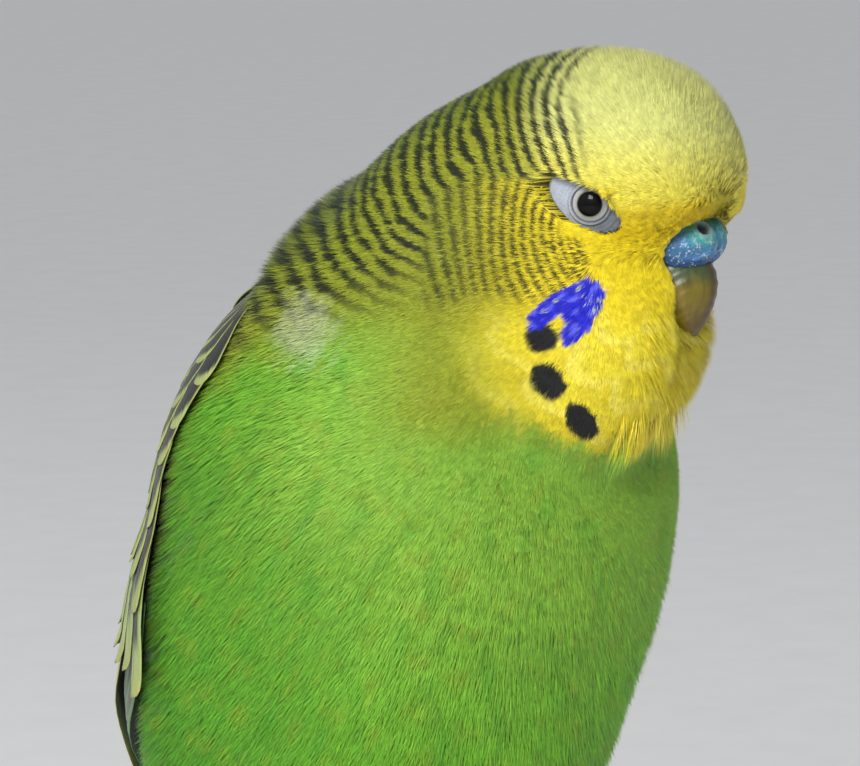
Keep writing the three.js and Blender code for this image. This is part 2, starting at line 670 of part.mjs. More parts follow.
function perch() {
  const sections = [];
  const steps = 8;
  for (let i = 0; i <= steps; i++) {
    const x = mix(-PERCH_LENGTH / 2, PERCH_LENGTH / 2, i / steps);
    const r = PERCH.radius * (0.975 + 0.02 * Math.cos(x / 5.3));
    sections.push({ middle: V(x, PERCH.y, PERCH.z), a: V(0, 0, 1), b: V(0, 1, 0), ha: r, hb: r });
  }
  return lofted(sections, sections[0].middle, sections[steps].middle, 18);
}

// The parts are cut from one another here, and put together.
const sides = [["left", 1], ["right", -1]];
const whole = flesh();
const cutThrough = (point, normal) => ({ normal, offset: point.dot(normal) });
const afterCut = (made, { normal, offset }) => made.trimByPlane(normal.toArray(), offset + GAP / 2);
const beforeCut = (made, { normal, offset }) =>
  made.trimByPlane(normal.clone().negate().toArray(), GAP / 2 - offset);
const toTail = CRANIAL.clone().negate();
const backAndDown = HEAD.axes[0].clone().multiplyScalar(-0.63).add(V(0, 0, -0.777)).normalize();
const headCut = cutThrough(head(9, 0, -31), backAndDown);
const neckCut = cutThrough(body(0, 0, 27), toTail);
const tailCut = cutThrough(body(0, 0, -61), toTail);

const BEAK_SIDES = { upper: 20, lower: 14 };
const upperForm = (more) => beakForm(UPPER_BEAK, UPPER_TIP, BEAK_SIDES.upper, more);
const lowerForm = (more) => beakForm(LOWER_BEAK, LOWER_TIP, BEAK_SIDES.lower, more);
const upperBeak = upperForm(0).subtract(roundCere());
const lowerBeak = lowerForm(0).subtract(upperForm(GAP));
const cere = cereForm().subtract(nostril(1)).subtract(nostril(-1));
let face = largest(beforeCut(whole, headCut))
  .subtract(roundCere())
  .subtract(ellipsoid(HEAD, CERE.room.middle, CERE.room.half, 10, 20))
  .subtract(upperForm(GAP))
  .subtract(lowerForm(GAP));
sides.forEach(([, side]) => {
  face = face.subtract(socket(side));
});
addNode("head", face, COLOURS.yellow);
const behindHead = afterCut(whole, headCut);
addNode("neck", beforeCut(behindHead, neckCut), COLOURS.barred);
let trunk = beforeCut(afterCut(behindHead, neckCut), tailCut);
sides.forEach(([, side]) => {
  trunk = trunk.subtract(thighForm(side, GAP));
});
addNode("torso", trunk, COLOURS.green);
addNode("tail", tail(), COLOURS.tail, 0.6);
addNode("beak_upper", upperBeak, COLOURS.horn, 0.45);
addNode("beak_lower", lowerBeak, COLOURS.horn, 0.5);
addNode("cere", cere, COLOURS.cere, 0.55);
sides.forEach(([name, side]) => {
  addNode("eye_" + name, eyeBall(side), COLOURS.eye, 0.1);
  addNode("eyelid_" + name, eyelid(side), COLOURS.lid, 0.7);
  addNode("wing_" + name, wing(side), COLOURS.dark, 0.6);
  addNode("thigh_" + name, thighForm(side).subtract(shank(side, GAP)), COLOURS.green);
  addNode("foot_" + name, foot(side), COLOURS.skin, 0.7);
  TOES.forEach((k) => addNode("claw_" + name + "_" + k.number, claw(side, k), COLOURS.claw, 0.4));
});
addNode("perch", perch(), COLOURS.bark, 0.85);
addNode("stand_base", standBase(), COLOURS.stand, 0.6);
addNode("stand_rod", standRod(), COLOURS.rod, 0.35, 0.9);

export default model;
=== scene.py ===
# Looks of the budgerigar: skin, coat, feathers, eyes, beak, feet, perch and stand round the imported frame.
import math

import bpy
import numpy as np
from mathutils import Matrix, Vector


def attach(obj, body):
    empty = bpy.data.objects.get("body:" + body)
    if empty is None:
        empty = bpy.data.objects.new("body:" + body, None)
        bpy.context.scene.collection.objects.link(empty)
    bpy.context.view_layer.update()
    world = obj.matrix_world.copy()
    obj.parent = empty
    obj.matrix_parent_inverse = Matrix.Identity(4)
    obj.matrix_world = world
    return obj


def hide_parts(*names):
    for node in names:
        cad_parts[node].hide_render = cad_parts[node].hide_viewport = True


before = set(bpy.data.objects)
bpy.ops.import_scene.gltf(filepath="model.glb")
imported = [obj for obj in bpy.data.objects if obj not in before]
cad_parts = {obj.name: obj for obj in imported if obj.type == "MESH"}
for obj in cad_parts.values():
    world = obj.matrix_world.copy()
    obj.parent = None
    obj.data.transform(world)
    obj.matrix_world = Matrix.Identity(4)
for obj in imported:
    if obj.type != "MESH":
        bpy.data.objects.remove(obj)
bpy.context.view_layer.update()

MM = 0.001
rng = np.random.default_rng(7)


# Frames of the body and of the head, in millimetres
def unit(v):
    return v / (np.linalg.norm(v, axis=-1, keepdims=True) + 1e-12)


def smooth(t):
    t = np.clip(t, 0, 1)
    return t * t * (3 - 2 * t)


def fade(x, a, b):
    return smooth((np.asarray(x, float) - a) / (b - a))


def mix(a, b, t):
    return a + (b - a) * t


def tint(a, b, t):
    """Colours mixed by one share for each point."""
    return mix(a, b, np.asarray(t)[..., None])


PITCH, HEAD_YAW = math.radians(62), math.radians(22)
X = np.array([1.0, 0, 0])
Z = np.array([0, 0, 1.0])
K = np.array([0, -math.cos(PITCH), math.sin(PITCH)])
D = np.array([0, math.sin(PITCH), math.cos(PITCH)])
CENTRE = np.array([0, 0, 143.0])
F = np.array([math.sin(HEAD_YAW), -math.cos(HEAD_YAW), 0])
L = np.array([math.cos(HEAD_YAW), math.sin(HEAD_YAW), 0])
HEAD_AT = np.array([4, -34, 193.0])
BODY_AXES = np.array([X, D, K])
HEAD_AXES = np.array([F, L, Z])


def body(x, d, s):
    x, d, s = np.broadcast_arrays(*np.atleast_1d(x, d, s))
    return CENTRE + x[..., None] * X + d[..., None] * D + s[..., None] * K


def head(f, l, u):
    f, l, u = np.broadcast_arrays(*np.atleast_1d(f, l, u))
    return HEAD_AT + f[..., None] * F + l[..., None] * L + u[..., None] * Z


def in_head(p):
    q = (p - HEAD_AT) @ HEAD_AXES.T
    return q[..., 0], q[..., 1], q[..., 2]


def in_body(p):
    q = (p - CENTRE) @ BODY_AXES.T
    return q[..., 0], q[..., 1], q[..., 2]


# The plumage's outer form, as in the solids: ellipsoids blended into one another
FORMS = [
    (body(0, 0, -5)[0], BODY_AXES, (35.5, 30.5, 48), 0),
    (body(0, -1, 10)[0], BODY_AXES, (31, 23.5, 26), 8),
    (body(0, -7, -27)[0], BODY_AXES, (31, 25.5, 34), 10),
    (body(0, 6.5, -60)[0], BODY_AXES, (13.5, 10, 27), 14),
    (body(0, 14, 18)[0], BODY_AXES, (27, 18.5, 28), 10),
    (head(-20.5, 4, -13)[0], BODY_AXES, (19.5, 16.5, 20), 14),
    (head(-14.5, 0, -4.5)[0], HEAD_AXES, (15, 15, 16.5), 12),
    (head(-1.5, 0, 2.4)[0], HEAD_AXES, (17, 15, 15.5), 8),
    (head(5.4, 0, 3.4)[0], HEAD_AXES, (10.8, 13, 10.8), 6),
    (head(0, 0, -9)[0], HEAD_AXES, (10.5, 13.5, 13), 6),
    (head(-0.5, 0, -20)[0], HEAD_AXES, (10, 14.5, 13), 8),
]
for side in (1, -1):
    FORMS.append((body(side * 17.2, 13.2, 9)[0], BODY_AXES, (12.3, 13.3, 20), 6))
    FORMS.append((body(side * 14.5, -13, -2)[0], BODY_AXES, (13.5, 12, 17), 5))
TAIL_ROOM = (body(0, 6, -80)[0], BODY_AXES, (10, 5, 40), 8)


def blended(p, forms):
    far = None
    for middle, axes, half, blend in forms:
        q = (p - middle) @ axes.T / np.array(half)
        k = np.sqrt((q * q).sum(-1))
        e = k * (k - 1) / (np.sqrt(((q / np.array(half)) ** 2).sum(-1)) + 1e-9)
        if far is None:
            far = e
        else:
            h = np.maximum(blend - np.abs(far - e), 0)
            far = np.minimum(far, e) - h * h / blend / 4
    return far


def plumage(p):
    return blended(p, FORMS)


def outward(p, forms=FORMS):
    e = 0.08
    g = [blended(p + e * a, forms) - blended(p - e * a, forms) for a in np.eye(3)]
    return unit(np.stack(g, -1))


BEAK_ROOT = head(9, 0, -6)[0]


def from_beak(p):
    return np.linalg.norm(p - BEAK_ROOT, axis=-1)


def coat_depth(p):
    """How far the skin lies under the tips of the coat."""
    return mix(0.9, 2.6, fade(from_beak(p), 8, 60))


# Eyes
EYE_FORWARD, EYE_LEAN = math.radians(18), math.radians(30)
EYE_RADIUS, EYE_OPENING = 3.3, 2.35


def eye_frame(side):
    out = L * side * math.cos(EYE_FORWARD) + F * math.sin(EYE_FORWARD)
    back = -unit(F - out * (F @ out))
    long = unit(back * math.cos(EYE_LEAN) + Z * math.sin(EYE_LEAN))
    short = unit(Z * math.cos(EYE_LEAN) - back * math.sin(EYE_LEAN))
    origin = head(3, side * 13.1, 0)[0] - out * EYE_RADIUS
    return origin, out, long, short


def lid_reach(turn):
    c, s = np.cos(turn), np.sin(turn)
    r = 1 / np.hypot(c / 4.5, s / 2.85)
    return np.where(c > 0, r * (1 + 0.16 * np.abs(c) ** 6), r)


def eye_place(p):
    """Where points lie round the nearer eye: outward, and the share of the way to the lids' edge."""
    nearest = []
    for side in (1, -1):
        origin, out, long, short = eye_frame(side)
        q = p - origin
        a, b, h = q @ long, q @ short, q @ out
        share = np.hypot(a, b) / lid_reach(np.arctan2(b, a))
        nearest.append(np.where(h > 0, share, 99))
    return np.minimum(*nearest)


CERE_ROOM = (head(14, 0, -5.7)[0], HEAD_AXES, (8.2, 8.0, 4.9))


def skin_level(p):
    """Below zero inside the skin: under the coat, with the cere's notch and a hollow round each eye."""
    middle, axes, half = CERE_ROOM
    room = blended(p, [(middle, axes, half, 0)])
    hollow = 2.2 * fade(eye_place(p), 1.4, 1.12)
    return np.maximum(plumage(p) + coat_depth(p) + hollow, -0.25 - room)


# The skin: rings cast from a spine that runs from the face to the root of the tail
SPINE = np.array([
    head(-1, 0, -2)[0], head(-7, 0, -5)[0], head(-13, 2, -12)[0], body(0, 4, 25)[0], body(0, 1, 9)[0],
    body(0, 0, -8)[0], body(0, 1, -28)[0], body(0, 4, -46)[0], body(0, 7, -62)[0],
])
TURNS = np.array([0, 0.12, 0.36, 0.74, 1, 1, 1, 1, 1])


def along_path(points, share):
    """A smooth path through points, at shares 0 to 1 of its way."""
    p = np.asarray(points, float)
    ends = np.vstack([2 * p[0] - p[1], p, 2 * p[-1] - p[-2]])
    u = np.clip(share, 0, 1) * (len(p) - 1)
    i = np.minimum(u.astype(int), len(p) - 2)
    t = (u - i)[:, None]
    a, b, c, d = ends[i], ends[i + 1], ends[i + 2], ends[i + 3]
    return 0.5 * (2 * b + (c - a) * t + (2 * a - 5 * b + 4 * c - d) * t**2 + (3 * b - a - 3 * c + d) * t**3)


def skin_rays(u, lean, around):
    turn = np.interp(u * (len(SPINE) - 1), np.arange(len(SPINE)), TURNS)[:, None]
    left = unit(mix(L, X, turn))
    travel = unit(mix(-F, -K, turn))
    back = unit(np.cross(left, travel))
    left = unit(np.cross(travel, back))
    a = (2 * np.pi * np.arange(around) / around)[None, :, None]
    lean = np.radians(lean)[:, None, None]
    way = (left[:, None] * np.sin(a) + back[:, None] * np.cos(a)) * np.cos(lean) + travel[:, None] * np.sin(lean)
    return np.repeat(along_path(SPINE, u)[:, None], around, 1), unit(way)


def cast(start, way, depth, steps=60):
    """Goes from inside along a direction to where a form's depth is zero."""
    p = start.copy()
    for _ in range(steps):
        p += way * (np.maximum(-depth(p), -1) * 0.9)[..., None]
    return p


SKIN_AROUND = 176
face_leans = np.linspace(-89.5, -3.5, 52)
tail_leans = np.linspace(4, 86, 16)
stations = np.linspace(0, 1, 190)
skin_u = np.concatenate([np.zeros(len(face_leans)), stations, np.ones(len(tail_leans))])
skin_lean = np.concatenate([face_leans, np.zeros(len(stations)), tail_leans])
ray_start, ray_way = skin_rays(skin_u, skin_lean, SKIN_AROUND)
skin_points = cast(ray_start, ray_way, skin_level)
steps_along = np.linalg.norm(np.diff(skin_points, axis=0), axis=-1).mean(1)
skin_v = np.concatenate([[0], np.cumsum(steps_along)])
UV_MARGIN, UV_SPAN = 0.02, 0.96
skin_v = UV_MARGIN + UV_SPAN * skin_v / skin_v[-1]


# Helpers that make meshes
def srgb(r, g, b):
    c = np.array([r, g, b]) / 255
    return np.where(c <= 0.04045, c / 12.92, ((c + 0.055) / 1.055) ** 2.4)


def make_mesh(name, points, faces, colours=None, uv=None, normals=None, flat=False, extra=None):
    """points in millimetres; faces all of one size; colours, uv and normals per point."""
    me = bpy.data.meshes.new(name)
    faces = np.asarray(faces)
    n, k = faces.shape
    me.vertices.add(len(points))
    me.vertices.foreach_set("co", (np.asarray(points) * MM).astype(np.float32).ravel())
    me.loops.add(n * k)
    me.loops.foreach_set("vertex_index", faces.astype(np.int32).ravel())
    me.polygons.add(n)
    me.polygons.foreach_set("loop_start", np.arange(0, n * k, k, dtype=np.int32))
    me.update(calc_edges=True)
    if not flat:
        me.shade_smooth()
    if colours is not None:
        a = me.color_attributes.new("Paint", "FLOAT_COLOR", "POINT")
        rgba = np.ones((len(points), 4), np.float32)
        rgba[:, :3] = colours
        a.data.foreach_set("color", rgba.ravel())
    for label, values in (extra or {}).items():
        a = me.attributes.new(label, "FLOAT_VECTOR", "POINT")
        a.data.foreach_set("vector", np.asarray(values, np.float32).ravel())
    if uv is not None:
        layer = me.uv_layers.new(name="OFBake")
        layer.data.foreach_set("uv", np.asarray(uv, np.float32)[faces.ravel()].ravel())
    if normals is not None:
        me.normals_split_custom_set_from_vertices(np.asarray(normals, np.float32))
    obj = bpy.data.objects.new(name, me)
    bpy.context.scene.collection.objects.link(obj)
    return obj


def grid_faces(rows, columns, wrap=True):
    i, j = np.meshgrid(np.arange(rows - 1), np.arange(columns if wrap else columns - 1), indexing="ij")
    i, j = i.ravel(), j.ravel()
    k = (j + 1) % columns
    return np.stack([i * columns + j, i * columns + k, (i + 1) * columns + k, (i + 1) * columns + j], -1)


def finish_piece(obj, material, slot, *nodes):
    obj.data.materials.clear()
    obj.data.materials.append(material)
    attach(obj, "root")
    if nodes:
        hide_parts(*nodes)
    return obj


# Materials
class Shade:
    """A material and short ways to add nodes to it."""

    def __init__(self, name, **constants):
        self.material = bpy.data.materials.new(name)
        self.material.use_nodes = True
        self.tree = self.material.node_tree
        self.tree.nodes.clear()
        self.out = self.add("OutputMaterial")
        self.surface = self.add("BsdfPrincipled")
        self.link(self.surface.outputs[0], self.out.inputs[0])
        for key, value in constants.items():
            self.surface.inputs[key.replace("_", " ")].default_value = value

    def add(self, kind, **settings):
        n = self.tree.nodes.new("ShaderNode" + kind)
        for key, value in settings.items():
            setattr(n, key, value)
        return n

    def link(self, a, b):
        self.tree.links.new(a, b)

    def set(self, node, index, value):
        if hasattr(value, "is_output"):
            self.link(value, node.inputs[index])
        else:
            node.inputs[index].default_value = value

    def math(self, operation, a, b=0.0):
        n = self.add("Math", operation=operation)
        self.set(n, 0, a)
        self.set(n, 1, b)
        return n.outputs[0]

    def noise(self, scale, detail=3.0, vector=None, rough=0.5, distortion=0.0):
        n = self.add("TexNoise")
        n.inputs["Scale"].default_value = scale
        n.inputs["Detail"].default_value = detail
        n.inputs["Roughness"].default_value = rough
        n.inputs["Distortion"].default_value = distortion
        self.link(vector or self.place(), n.inputs["Vector"])
        return n.outputs["Fac"]

    def place(self, *scale):
        """The place on the model, stretched along each axis where scales are given."""
        place = self.add("TexCoord").outputs["Object"]
        if not scale:
            return place
        n = self.add("VectorMath", operation="MULTIPLY")
        self.link(place, n.inputs[0])
        n.inputs[1].default_value = scale
        return n.outputs[0]

    def attribute(self, name, output="Color"):
        return self.add("Attribute", attribute_name=name).outputs[output]

    def ramp(self, value, low, high):
        """A colour between two, each given with its place on the ramp."""
        n = self.add("ValToRGB")
        for element, (position, colour) in zip(n.color_ramp.elements, (low, high)):
            element.position = position
            element.color = (*colour, 1)
        self.link(value, n.inputs[0])
        return n.outputs[0]

    def range(self, value, a, b, c, d):
        n = self.add("MapRange")
        self.link(value, n.inputs[0])
        for i, x in enumerate((a, b, c, d)):
            n.inputs[i + 1].default_value = x
        return n.outputs[0]

    def vary(self, grain, low, high):
        """A number from low to high over the middle of a noise."""
        return self.range(grain, 0.3, 0.7, low, high)

    def times(self, colour, value):
        """A colour made lighter or darker by a number."""
        n = self.add("VectorMath", operation="SCALE")
        self.link(colour, n.inputs[0])
        self.set(n, 3, value)
        return n.outputs[0]

    def bump(self, height, strength, distance):
        n = self.add("Bump")
        n.inputs["Strength"].default_value = strength
        n.inputs["Distance"].default_value = distance
        self.link(height, n.inputs["Height"])
        self.link(n.outputs[0], self.surface.inputs["Normal"])

    def colour(self, value):
        self.set(self.surface, "Base Color", value)

    def rough(self, value):
        self.set(self.surface, "Roughness", value)

    def paint(self, tone):
        """The mesh's own paint, made lighter and darker by a tone."""
        self.colour(self.times(self.attribute("Paint"), tone))

    def grained(self, grain, tone, rough, relief):
        """Paint, roughness and relief that all follow one grain."""
        self.paint(self.vary(grain, *tone))
        self.rough(self.vary(grain, *rough))
        self.bump(grain, *relief)
        return self.material


def plumage_material(name, grain):
    m = Shade(name, Specular_IOR_Level=0.25, Sheen_Weight=0.08, Sheen_Roughness=0.4)
    m.paint(m.vary(m.noise(grain), 0.86, 1.12))
    m.rough(m.vary(m.noise(300, 2), 0.55, 0.75))
    return m.material


# Markings, as functions of the place on the bird
# CAP, the paler yellow towards the top of the head, is partly painted light
CAP = srgb(206, 208, 124)
FOREHEAD = srgb(226, 214, 74)
CHEEK = srgb(228, 206, 30)
AMBER = srgb(212, 184, 14)
BIB = srgb(230, 214, 52)
NAPE = srgb(142, 148, 38)
NAPE_BACK = srgb(104, 120, 36)
OLIVE = srgb(150, 164, 44)
GREEN = srgb(112, 176, 46)
# Lighter and darker greens for the breast, belly and flanks: partly their own tone, partly painted light and shade
GREEN_HIGH = srgb(142, 188, 66)
GREEN_LOW = srgb(84, 156, 38)
FLANK = srgb(70, 136, 30)
DARK = srgb(22, 27, 20)
DARK_BACK = srgb(20, 52, 36)
BROWNISH, MOSS = srgb(156, 158, 50), srgb(60, 148, 40)
# Pale margins of the bib's feathers, and the painted shadow under their tips
BIB_EDGE, BIB_PAINTED_SHADE = srgb(250, 240, 120), srgb(196, 168, 16)
VIOLET = srgb(34, 34, 196)
VIOLET_LIGHT = srgb(92, 98, 226)
SPOT = srgb(30, 31, 30)
WHITISH = srgb(198, 206, 170)


def ripple(p, size, seed):
    """Smooth noise from a few sine waves, about -1 to 1."""
    g = np.random.default_rng(seed)
    total = np.zeros(p.shape[:-1])
    for _ in range(7):
        way = unit(g.normal(size=3)) * 2 * np.pi / (size * g.uniform(0.6, 1.6))
        total += np.sin(p @ way + g.uniform(0, 7))
    return total / 3.2


# Feathers of the bib: how far apart their rows lie
BIB_ROW = 4.6
# Bars of the nape: half planes from a line across the head, swept back at the sides
BAR_AXIS = (18.0, -24.0)
BAR_ARM, BAR_STEP, BAR_SWEEP = 40.0, 1.8, 0.0125
# Arcs of the cheek: rings round a place under the eye, wider apart to the rear
CHEEK_MIDDLE = (6.0, -3.1)
ARC_FIRST, ARC_GROWTH, ARC_SWEEP = 1.02, 0.048, 1.45
# Throat spots: forward, left, up of the middle in the head's frame, and half sizes
SPOTS = [(-2.3, 14.6, -22.8, 2.5, 2.3), (1.0, 11.0, -28.1, 2.0, 2.6), (-2.9, 15.2, -17.1, 2.4, 1.9)]
# Vanes of the violet patch: forward, up, half length, half width and lean
PATCH = [(-1.3, -13.2, 4.2, 1.5, math.radians(36)), (2.8, -14.0, 4.3, 1.75, math.radians(60)),
         (1.9, -12.1, 3.0, 1.9, math.radians(45))]


def markings(p):
    """Colour of the plumage at points, the same on both sides of the head and body."""
    f, l, u = in_head(p)
    x, d, s = in_body(p)
    m = np.abs(l)
    wave = ripple(p, 9, 3)
    fine = ripple(p, 2.2, 5)

    def lay(colour, over, amount):
        return tint(colour, over, np.clip(amount, 0, 1))

    # Body: lighter on the breast, darker on the belly and flanks; partly the plumage's own tone, partly painted
    # light on the breast and painted shade on the belly and flanks
    c = np.broadcast_to(GREEN, p.shape).copy()
    c = lay(c, GREEN_HIGH, 0.9 * fade(s, -14, 24) * fade(d, 14, -6))
    c = lay(c, GREEN_LOW, 0.9 * fade(s, -6, -44))
    c = lay(c, FLANK, 0.5 * fade(np.abs(x), 22, 33) * fade(s, 28, 4))
    c = lay(c, BROWNISH, 0.25 * fade(ripple(p, 4, 9) + 0.5 * fine, 0.2, 1.1))
    c = lay(c, MOSS, 0.28 * fade(ripple(p, 5, 19) + 0.5 * fine, 0.2, 1.1))
    # Yellow of the face and bib, fading through olive into the green
    c = lay(c, OLIVE, fade(f + 0.2 * u, -34, -20) * fade(u, -34, -26))
    mask = fade(u + 0.6 * f + 32.3 + 0.9 * fine + 0.5 * wave, -1.8, 2.0) * fade(f + 0.1 * u, -19, -7)
    c = lay(c, BIB, mask)
    c = lay(c, CHEEK, fade(f, -9, 0) * fade(u, -17, -9))
    row = (from_beak(p) + 0.3 * wave) / BIB_ROW
    column = np.arctan2(m, -6 - u) * 3.4 + 0.5 * (np.floor(row) % 2)
    scale = (row + 0.5 * (2 * (column % 1) - 1) ** 2) % 1
    scaled = mask * fade(u, -9, -15)
    # Pale margins on the bib's feathers, and a painted shadow just past each margin, where the next row lies under
    # the tips of the row before
    c = lay(c, BIB_EDGE, 0.40 * fade(scale, 0.55, 0.95) * scaled)
    c = lay(c, BIB_PAINTED_SHADE, 0.34 * fade(scale, 0.30, 0.02) * scaled)
    # Nape, mantle and their bars, which fade out over the shoulder
    rear = s + 1.1 * d + 1.2 * wave
    back = fade(d, 9, 15) * fade(s, -24, -6) * fade(m, 17, 12)
    barred = np.maximum(fade(rear, 32, 46) * fade(f, 2, -5), back)
    c = lay(c, NAPE, barred * 0.92)
    c = lay(c, NAPE_BACK, barred * fade(m, 14, 6) * 0.8)
    angle = np.arctan2(u - BAR_AXIS[1], BAR_AXIS[0] - f)
    turn = (BAR_ARM * angle + BAR_SWEEP * m * m) / BAR_STEP + 0.16 * wave + 0.05 * fine
    bar = 0.5 + 0.5 * np.cos(2 * np.pi * turn)
    strength = np.maximum(fade(rear, 37, 50), back)
    width = mix(0.66, 0.50, (strength * fade(m, 17, 11)))
    broken = 0.22 * ripple(p, 2.6, 15)
    ink = fade(bar + 0.10 * fine + broken, width - 0.12, width + 0.06) * strength
    # Cheek: fine dark arcs on yellow
    cheek = fade(f, -18.6, -17.2) * fade(u - 3.0 + 0.02 * (f + 7) ** 2 + 0.3 * wave, 0.7, -0.5) * fade(m, 5, 8)
    ground = tint(NAPE, CHEEK, fade(f, -17, 1))
    c = lay(c, ground, cheek * 0.9 * fade(u, -18, -12))
    rho = np.hypot(f - CHEEK_MIDDLE[0], u - CHEEK_MIDDLE[1]) + ARC_SWEEP * (np.maximum(m, 12.5) - 15)
    rho = np.maximum(rho, 0.1)
    arcs = np.log(ARC_FIRST + ARC_GROWTH * rho) / ARC_GROWTH
    arcs = 0.5 + 0.5 * np.cos(2 * np.pi * arcs + 0.6 * wave)
    reach = fade(rho, 2.4, 4.2) * fade(f, 4.6, 2.4) * fade(u - 0.06 * f + 0.4 * wave, -13.2, -10.4)
    reach = reach * (1 - fade(u, -4.6, -3.6) * fade(f, -1.0, 0.5))
    arc_ink = fade(arcs + 0.08 * fine + 0.25 * broken, 0.5, 0.7) * reach * mix(0.95, 0.8, fade(rho, 12, 22))
    ink = mix(ink, arc_ink, cheek)
    # Cap, with no bars, paler to the top: partly the cap's own tone and partly painted light on the top of the head
    ragged = 0.8 * wave + 0.7 * fine + 0.8 * broken
    cap = fade(f - 0.3 * (14 - u) + ragged, -2.2, 1.4) * fade(u, 1.2, 3.0)
    cap = np.maximum(cap, fade(f, 5.5, 8) * fade(u, -3.5, -1))
    high = fade(u + 0.15 * (10 - m), -1.5, 12)
    under = np.maximum(cap, fade(f - 0.3 * (14 - u) + ragged, -11, -2) * fade(u, 1.2, 3.0))
    c = lay(c, tint(FOREHEAD, CAP, high), under)
    c = lay(c, AMBER, 0.75 * fade(f, 4.5, 7) * fade(np.abs(u + 2.4 - 0.1 * (f - 8)), 3.4, 0.8) * fade(m, 3, 7))
    ink = ink * (1 - cap)
    ghost = fade(bar, 0.7, 0.95) * fade(fine, -0.2, 0.5) * fade(f, 6, 0) * fade(u, 3, 8)
    ink = np.maximum(ink, 0.25 * ghost * cap)
    c = lay(c, tint(DARK, DARK_BACK, 0.5 * fade(m, 14, 7)), ink * 0.95)
    # Throat spots, and over the first of them the violet patch of two vanes with lighter barbs
    for sf, sl, su, ha, hb in SPOTS:
        r = np.hypot((f - sf) / ha, (u - su) / hb) + 0.09 * fine
        c = lay(c, SPOT, fade(r, 1.1, 0.94) * fade(m, sl - 6, sl - 4))
    violet = tint(VIOLET, VIOLET_LIGHT, fade(ripple(p, 1.4, 25), 0.1, 0.9))
    for sf, su, ha, hb, lean in PATCH:
        g, h = f - sf, u - su
        along = (g * math.cos(lean) + h * math.sin(lean)) / ha
        across = (h * math.cos(lean) - g * math.sin(lean)) / hb
        fleck = fade(ripple(p, 1.0, 26) + 0.5 * along, 0.9, 1.2) * 0.7
        edge = fade(np.hypot(along, across) + 0.14 * fine, 1.08, 0.94) * fade(m, 7, 9)
        c = lay(c, tint(violet, WHITISH, fleck), edge)
    # A pale patch at the bend of the wing: a painted highlight
    bend = np.hypot((s - 32) / 5.5, (d - 8.5) / 7.0) + 0.25 * fine
    c = lay(c, WHITISH, 0.5 * fade(bend, 1.1, 0.2) * fade(np.abs(x), 14, 22))
    return np.clip(c, 0.002, 1)


# Skin: the markings, made darker as painted shade under the coat
v_grid = np.repeat(skin_v[:, None], SKIN_AROUND + 1, 1)
u_grid = np.repeat((np.arange(SKIN_AROUND + 1) / SKIN_AROUND * UV_SPAN + UV_MARGIN)[None], len(skin_v), 0)
skin_full = np.concatenate([skin_points, skin_points[:, :1]], 1)
flat_points = skin_full.reshape(-1, 3)
skin = make_mesh(
    "skin", flat_points, grid_faces(len(skin_v), SKIN_AROUND + 1, wrap=False)[:, ::-1],
    colours=markings(flat_points) * 0.75, uv=np.stack([u_grid, v_grid], -1).reshape(-1, 2),
)
finish_piece(skin, plumage_material("skin_plumage", 900), "plumage_green",
             "head", "neck", "torso", "thigh_left", "thigh_right")

# Camera
AZIMUTH, ELEVATION = math.radians(-40), math.radians(8)
RIGHT = np.array([math.cos(AZIMUTH), math.sin(AZIMUTH), 0])
TOWARD = np.array([math.sin(AZIMUTH), -math.cos(AZIMUTH), 0]) * math.cos(ELEVATION) + Z * math.sin(ELEVATION)
UP = np.cross(TOWARD, RIGHT)
DISTANCE = 600.0
SENSOR, PICTURE_WIDTH, PX_PER_MM = 36, 860, 8.0
# The point at the middle of the picture: 161 px left of the right eye and 179 px below it
aim = head(3, -12.6, 0)[0] - (RIGHT * 161 + UP * 179) / PX_PER_MM
camera = bpy.data.objects.new("camera", bpy.data.cameras.new("camera"))
bpy.context.scene.collection.objects.link(camera)
camera.location = Vector((aim + TOWARD * DISTANCE) * MM)
camera.rotation_mode = "QUATERNION"
camera.rotation_quaternion = Vector(-TOWARD).to_track_quat("-Z", "Y")
camera.data.sensor_width = SENSOR
camera.data.lens = SENSOR * DISTANCE * PX_PER_MM / PICTURE_WIDTH
camera.data.clip_start = 0.01
camera.data.clip_end = 200
bpy.context.scene.camera = camera


# Light, floor and surroundings
def area_light(name, place, aim_at, size, power, colour=(1, 1, 1)):
    data = bpy.data.lights.new(name, "AREA")
    data.size, data.energy, data.color = size, power, colour
    lamp = bpy.data.objects.new(name, data)
    bpy.context.scene.collection.objects.link(lamp)
    lamp.location = Vector(place)
    lamp.rotation_mode = "QUATERNION"
    lamp.rotation_quaternion = (Vector(place) - Vector(aim_at)).to_track_quat("Z", "Y")
    lamp.visible_camera = False
    return lamp


def from_camera(right, up, toward):
    return [float(v) for v in aim * MM + RIGHT * right + UP * up + TOWARD * toward]


middle = [float(v) for v in aim * MM]
area_light("key", from_camera(-0.14, 0.28, 0.74), middle, 0.26, 7.8)
area_light("fill", from_camera(-0.9, 0.2, 0.5), middle, 0.8, 1.2)
area_light("back", from_camera(-0.5, 0.7, -0.7), middle, 0.6, 0.5)
world = bpy.data.worlds.new("studio")
world.use_nodes = True
world.node_tree.nodes["Background"].inputs[0].default_value = (0.94, 0.95, 0.97, 1)
world.node_tree.nodes["Background"].inputs[1].default_value = 0.50
bpy.context.scene.world = world
bpy.context.scene.view_settings.view_transform = "Standard"
bpy.context.scene.view_settings.look = "None"

FLOOR = 60000.0
floor_points = FLOOR * np.array([[-1, -1, 0], [1, -1, 0], [1, 1, 0], [-1, 1, 0]], float)
floor = make_mesh("floor", floor_points, [[0, 1, 2, 3]], flat=True)
floor_shade = Shade("pale_floor", Roughness=0.9)
floor_shade.colour(floor_shade.ramp(
    floor_shade.noise(60, 4), (0.3, (0.87, 0.87, 0.865)), (0.7, (0.90, 0.90, 0.895))))
floor.data.materials.append(floor_shade.material)

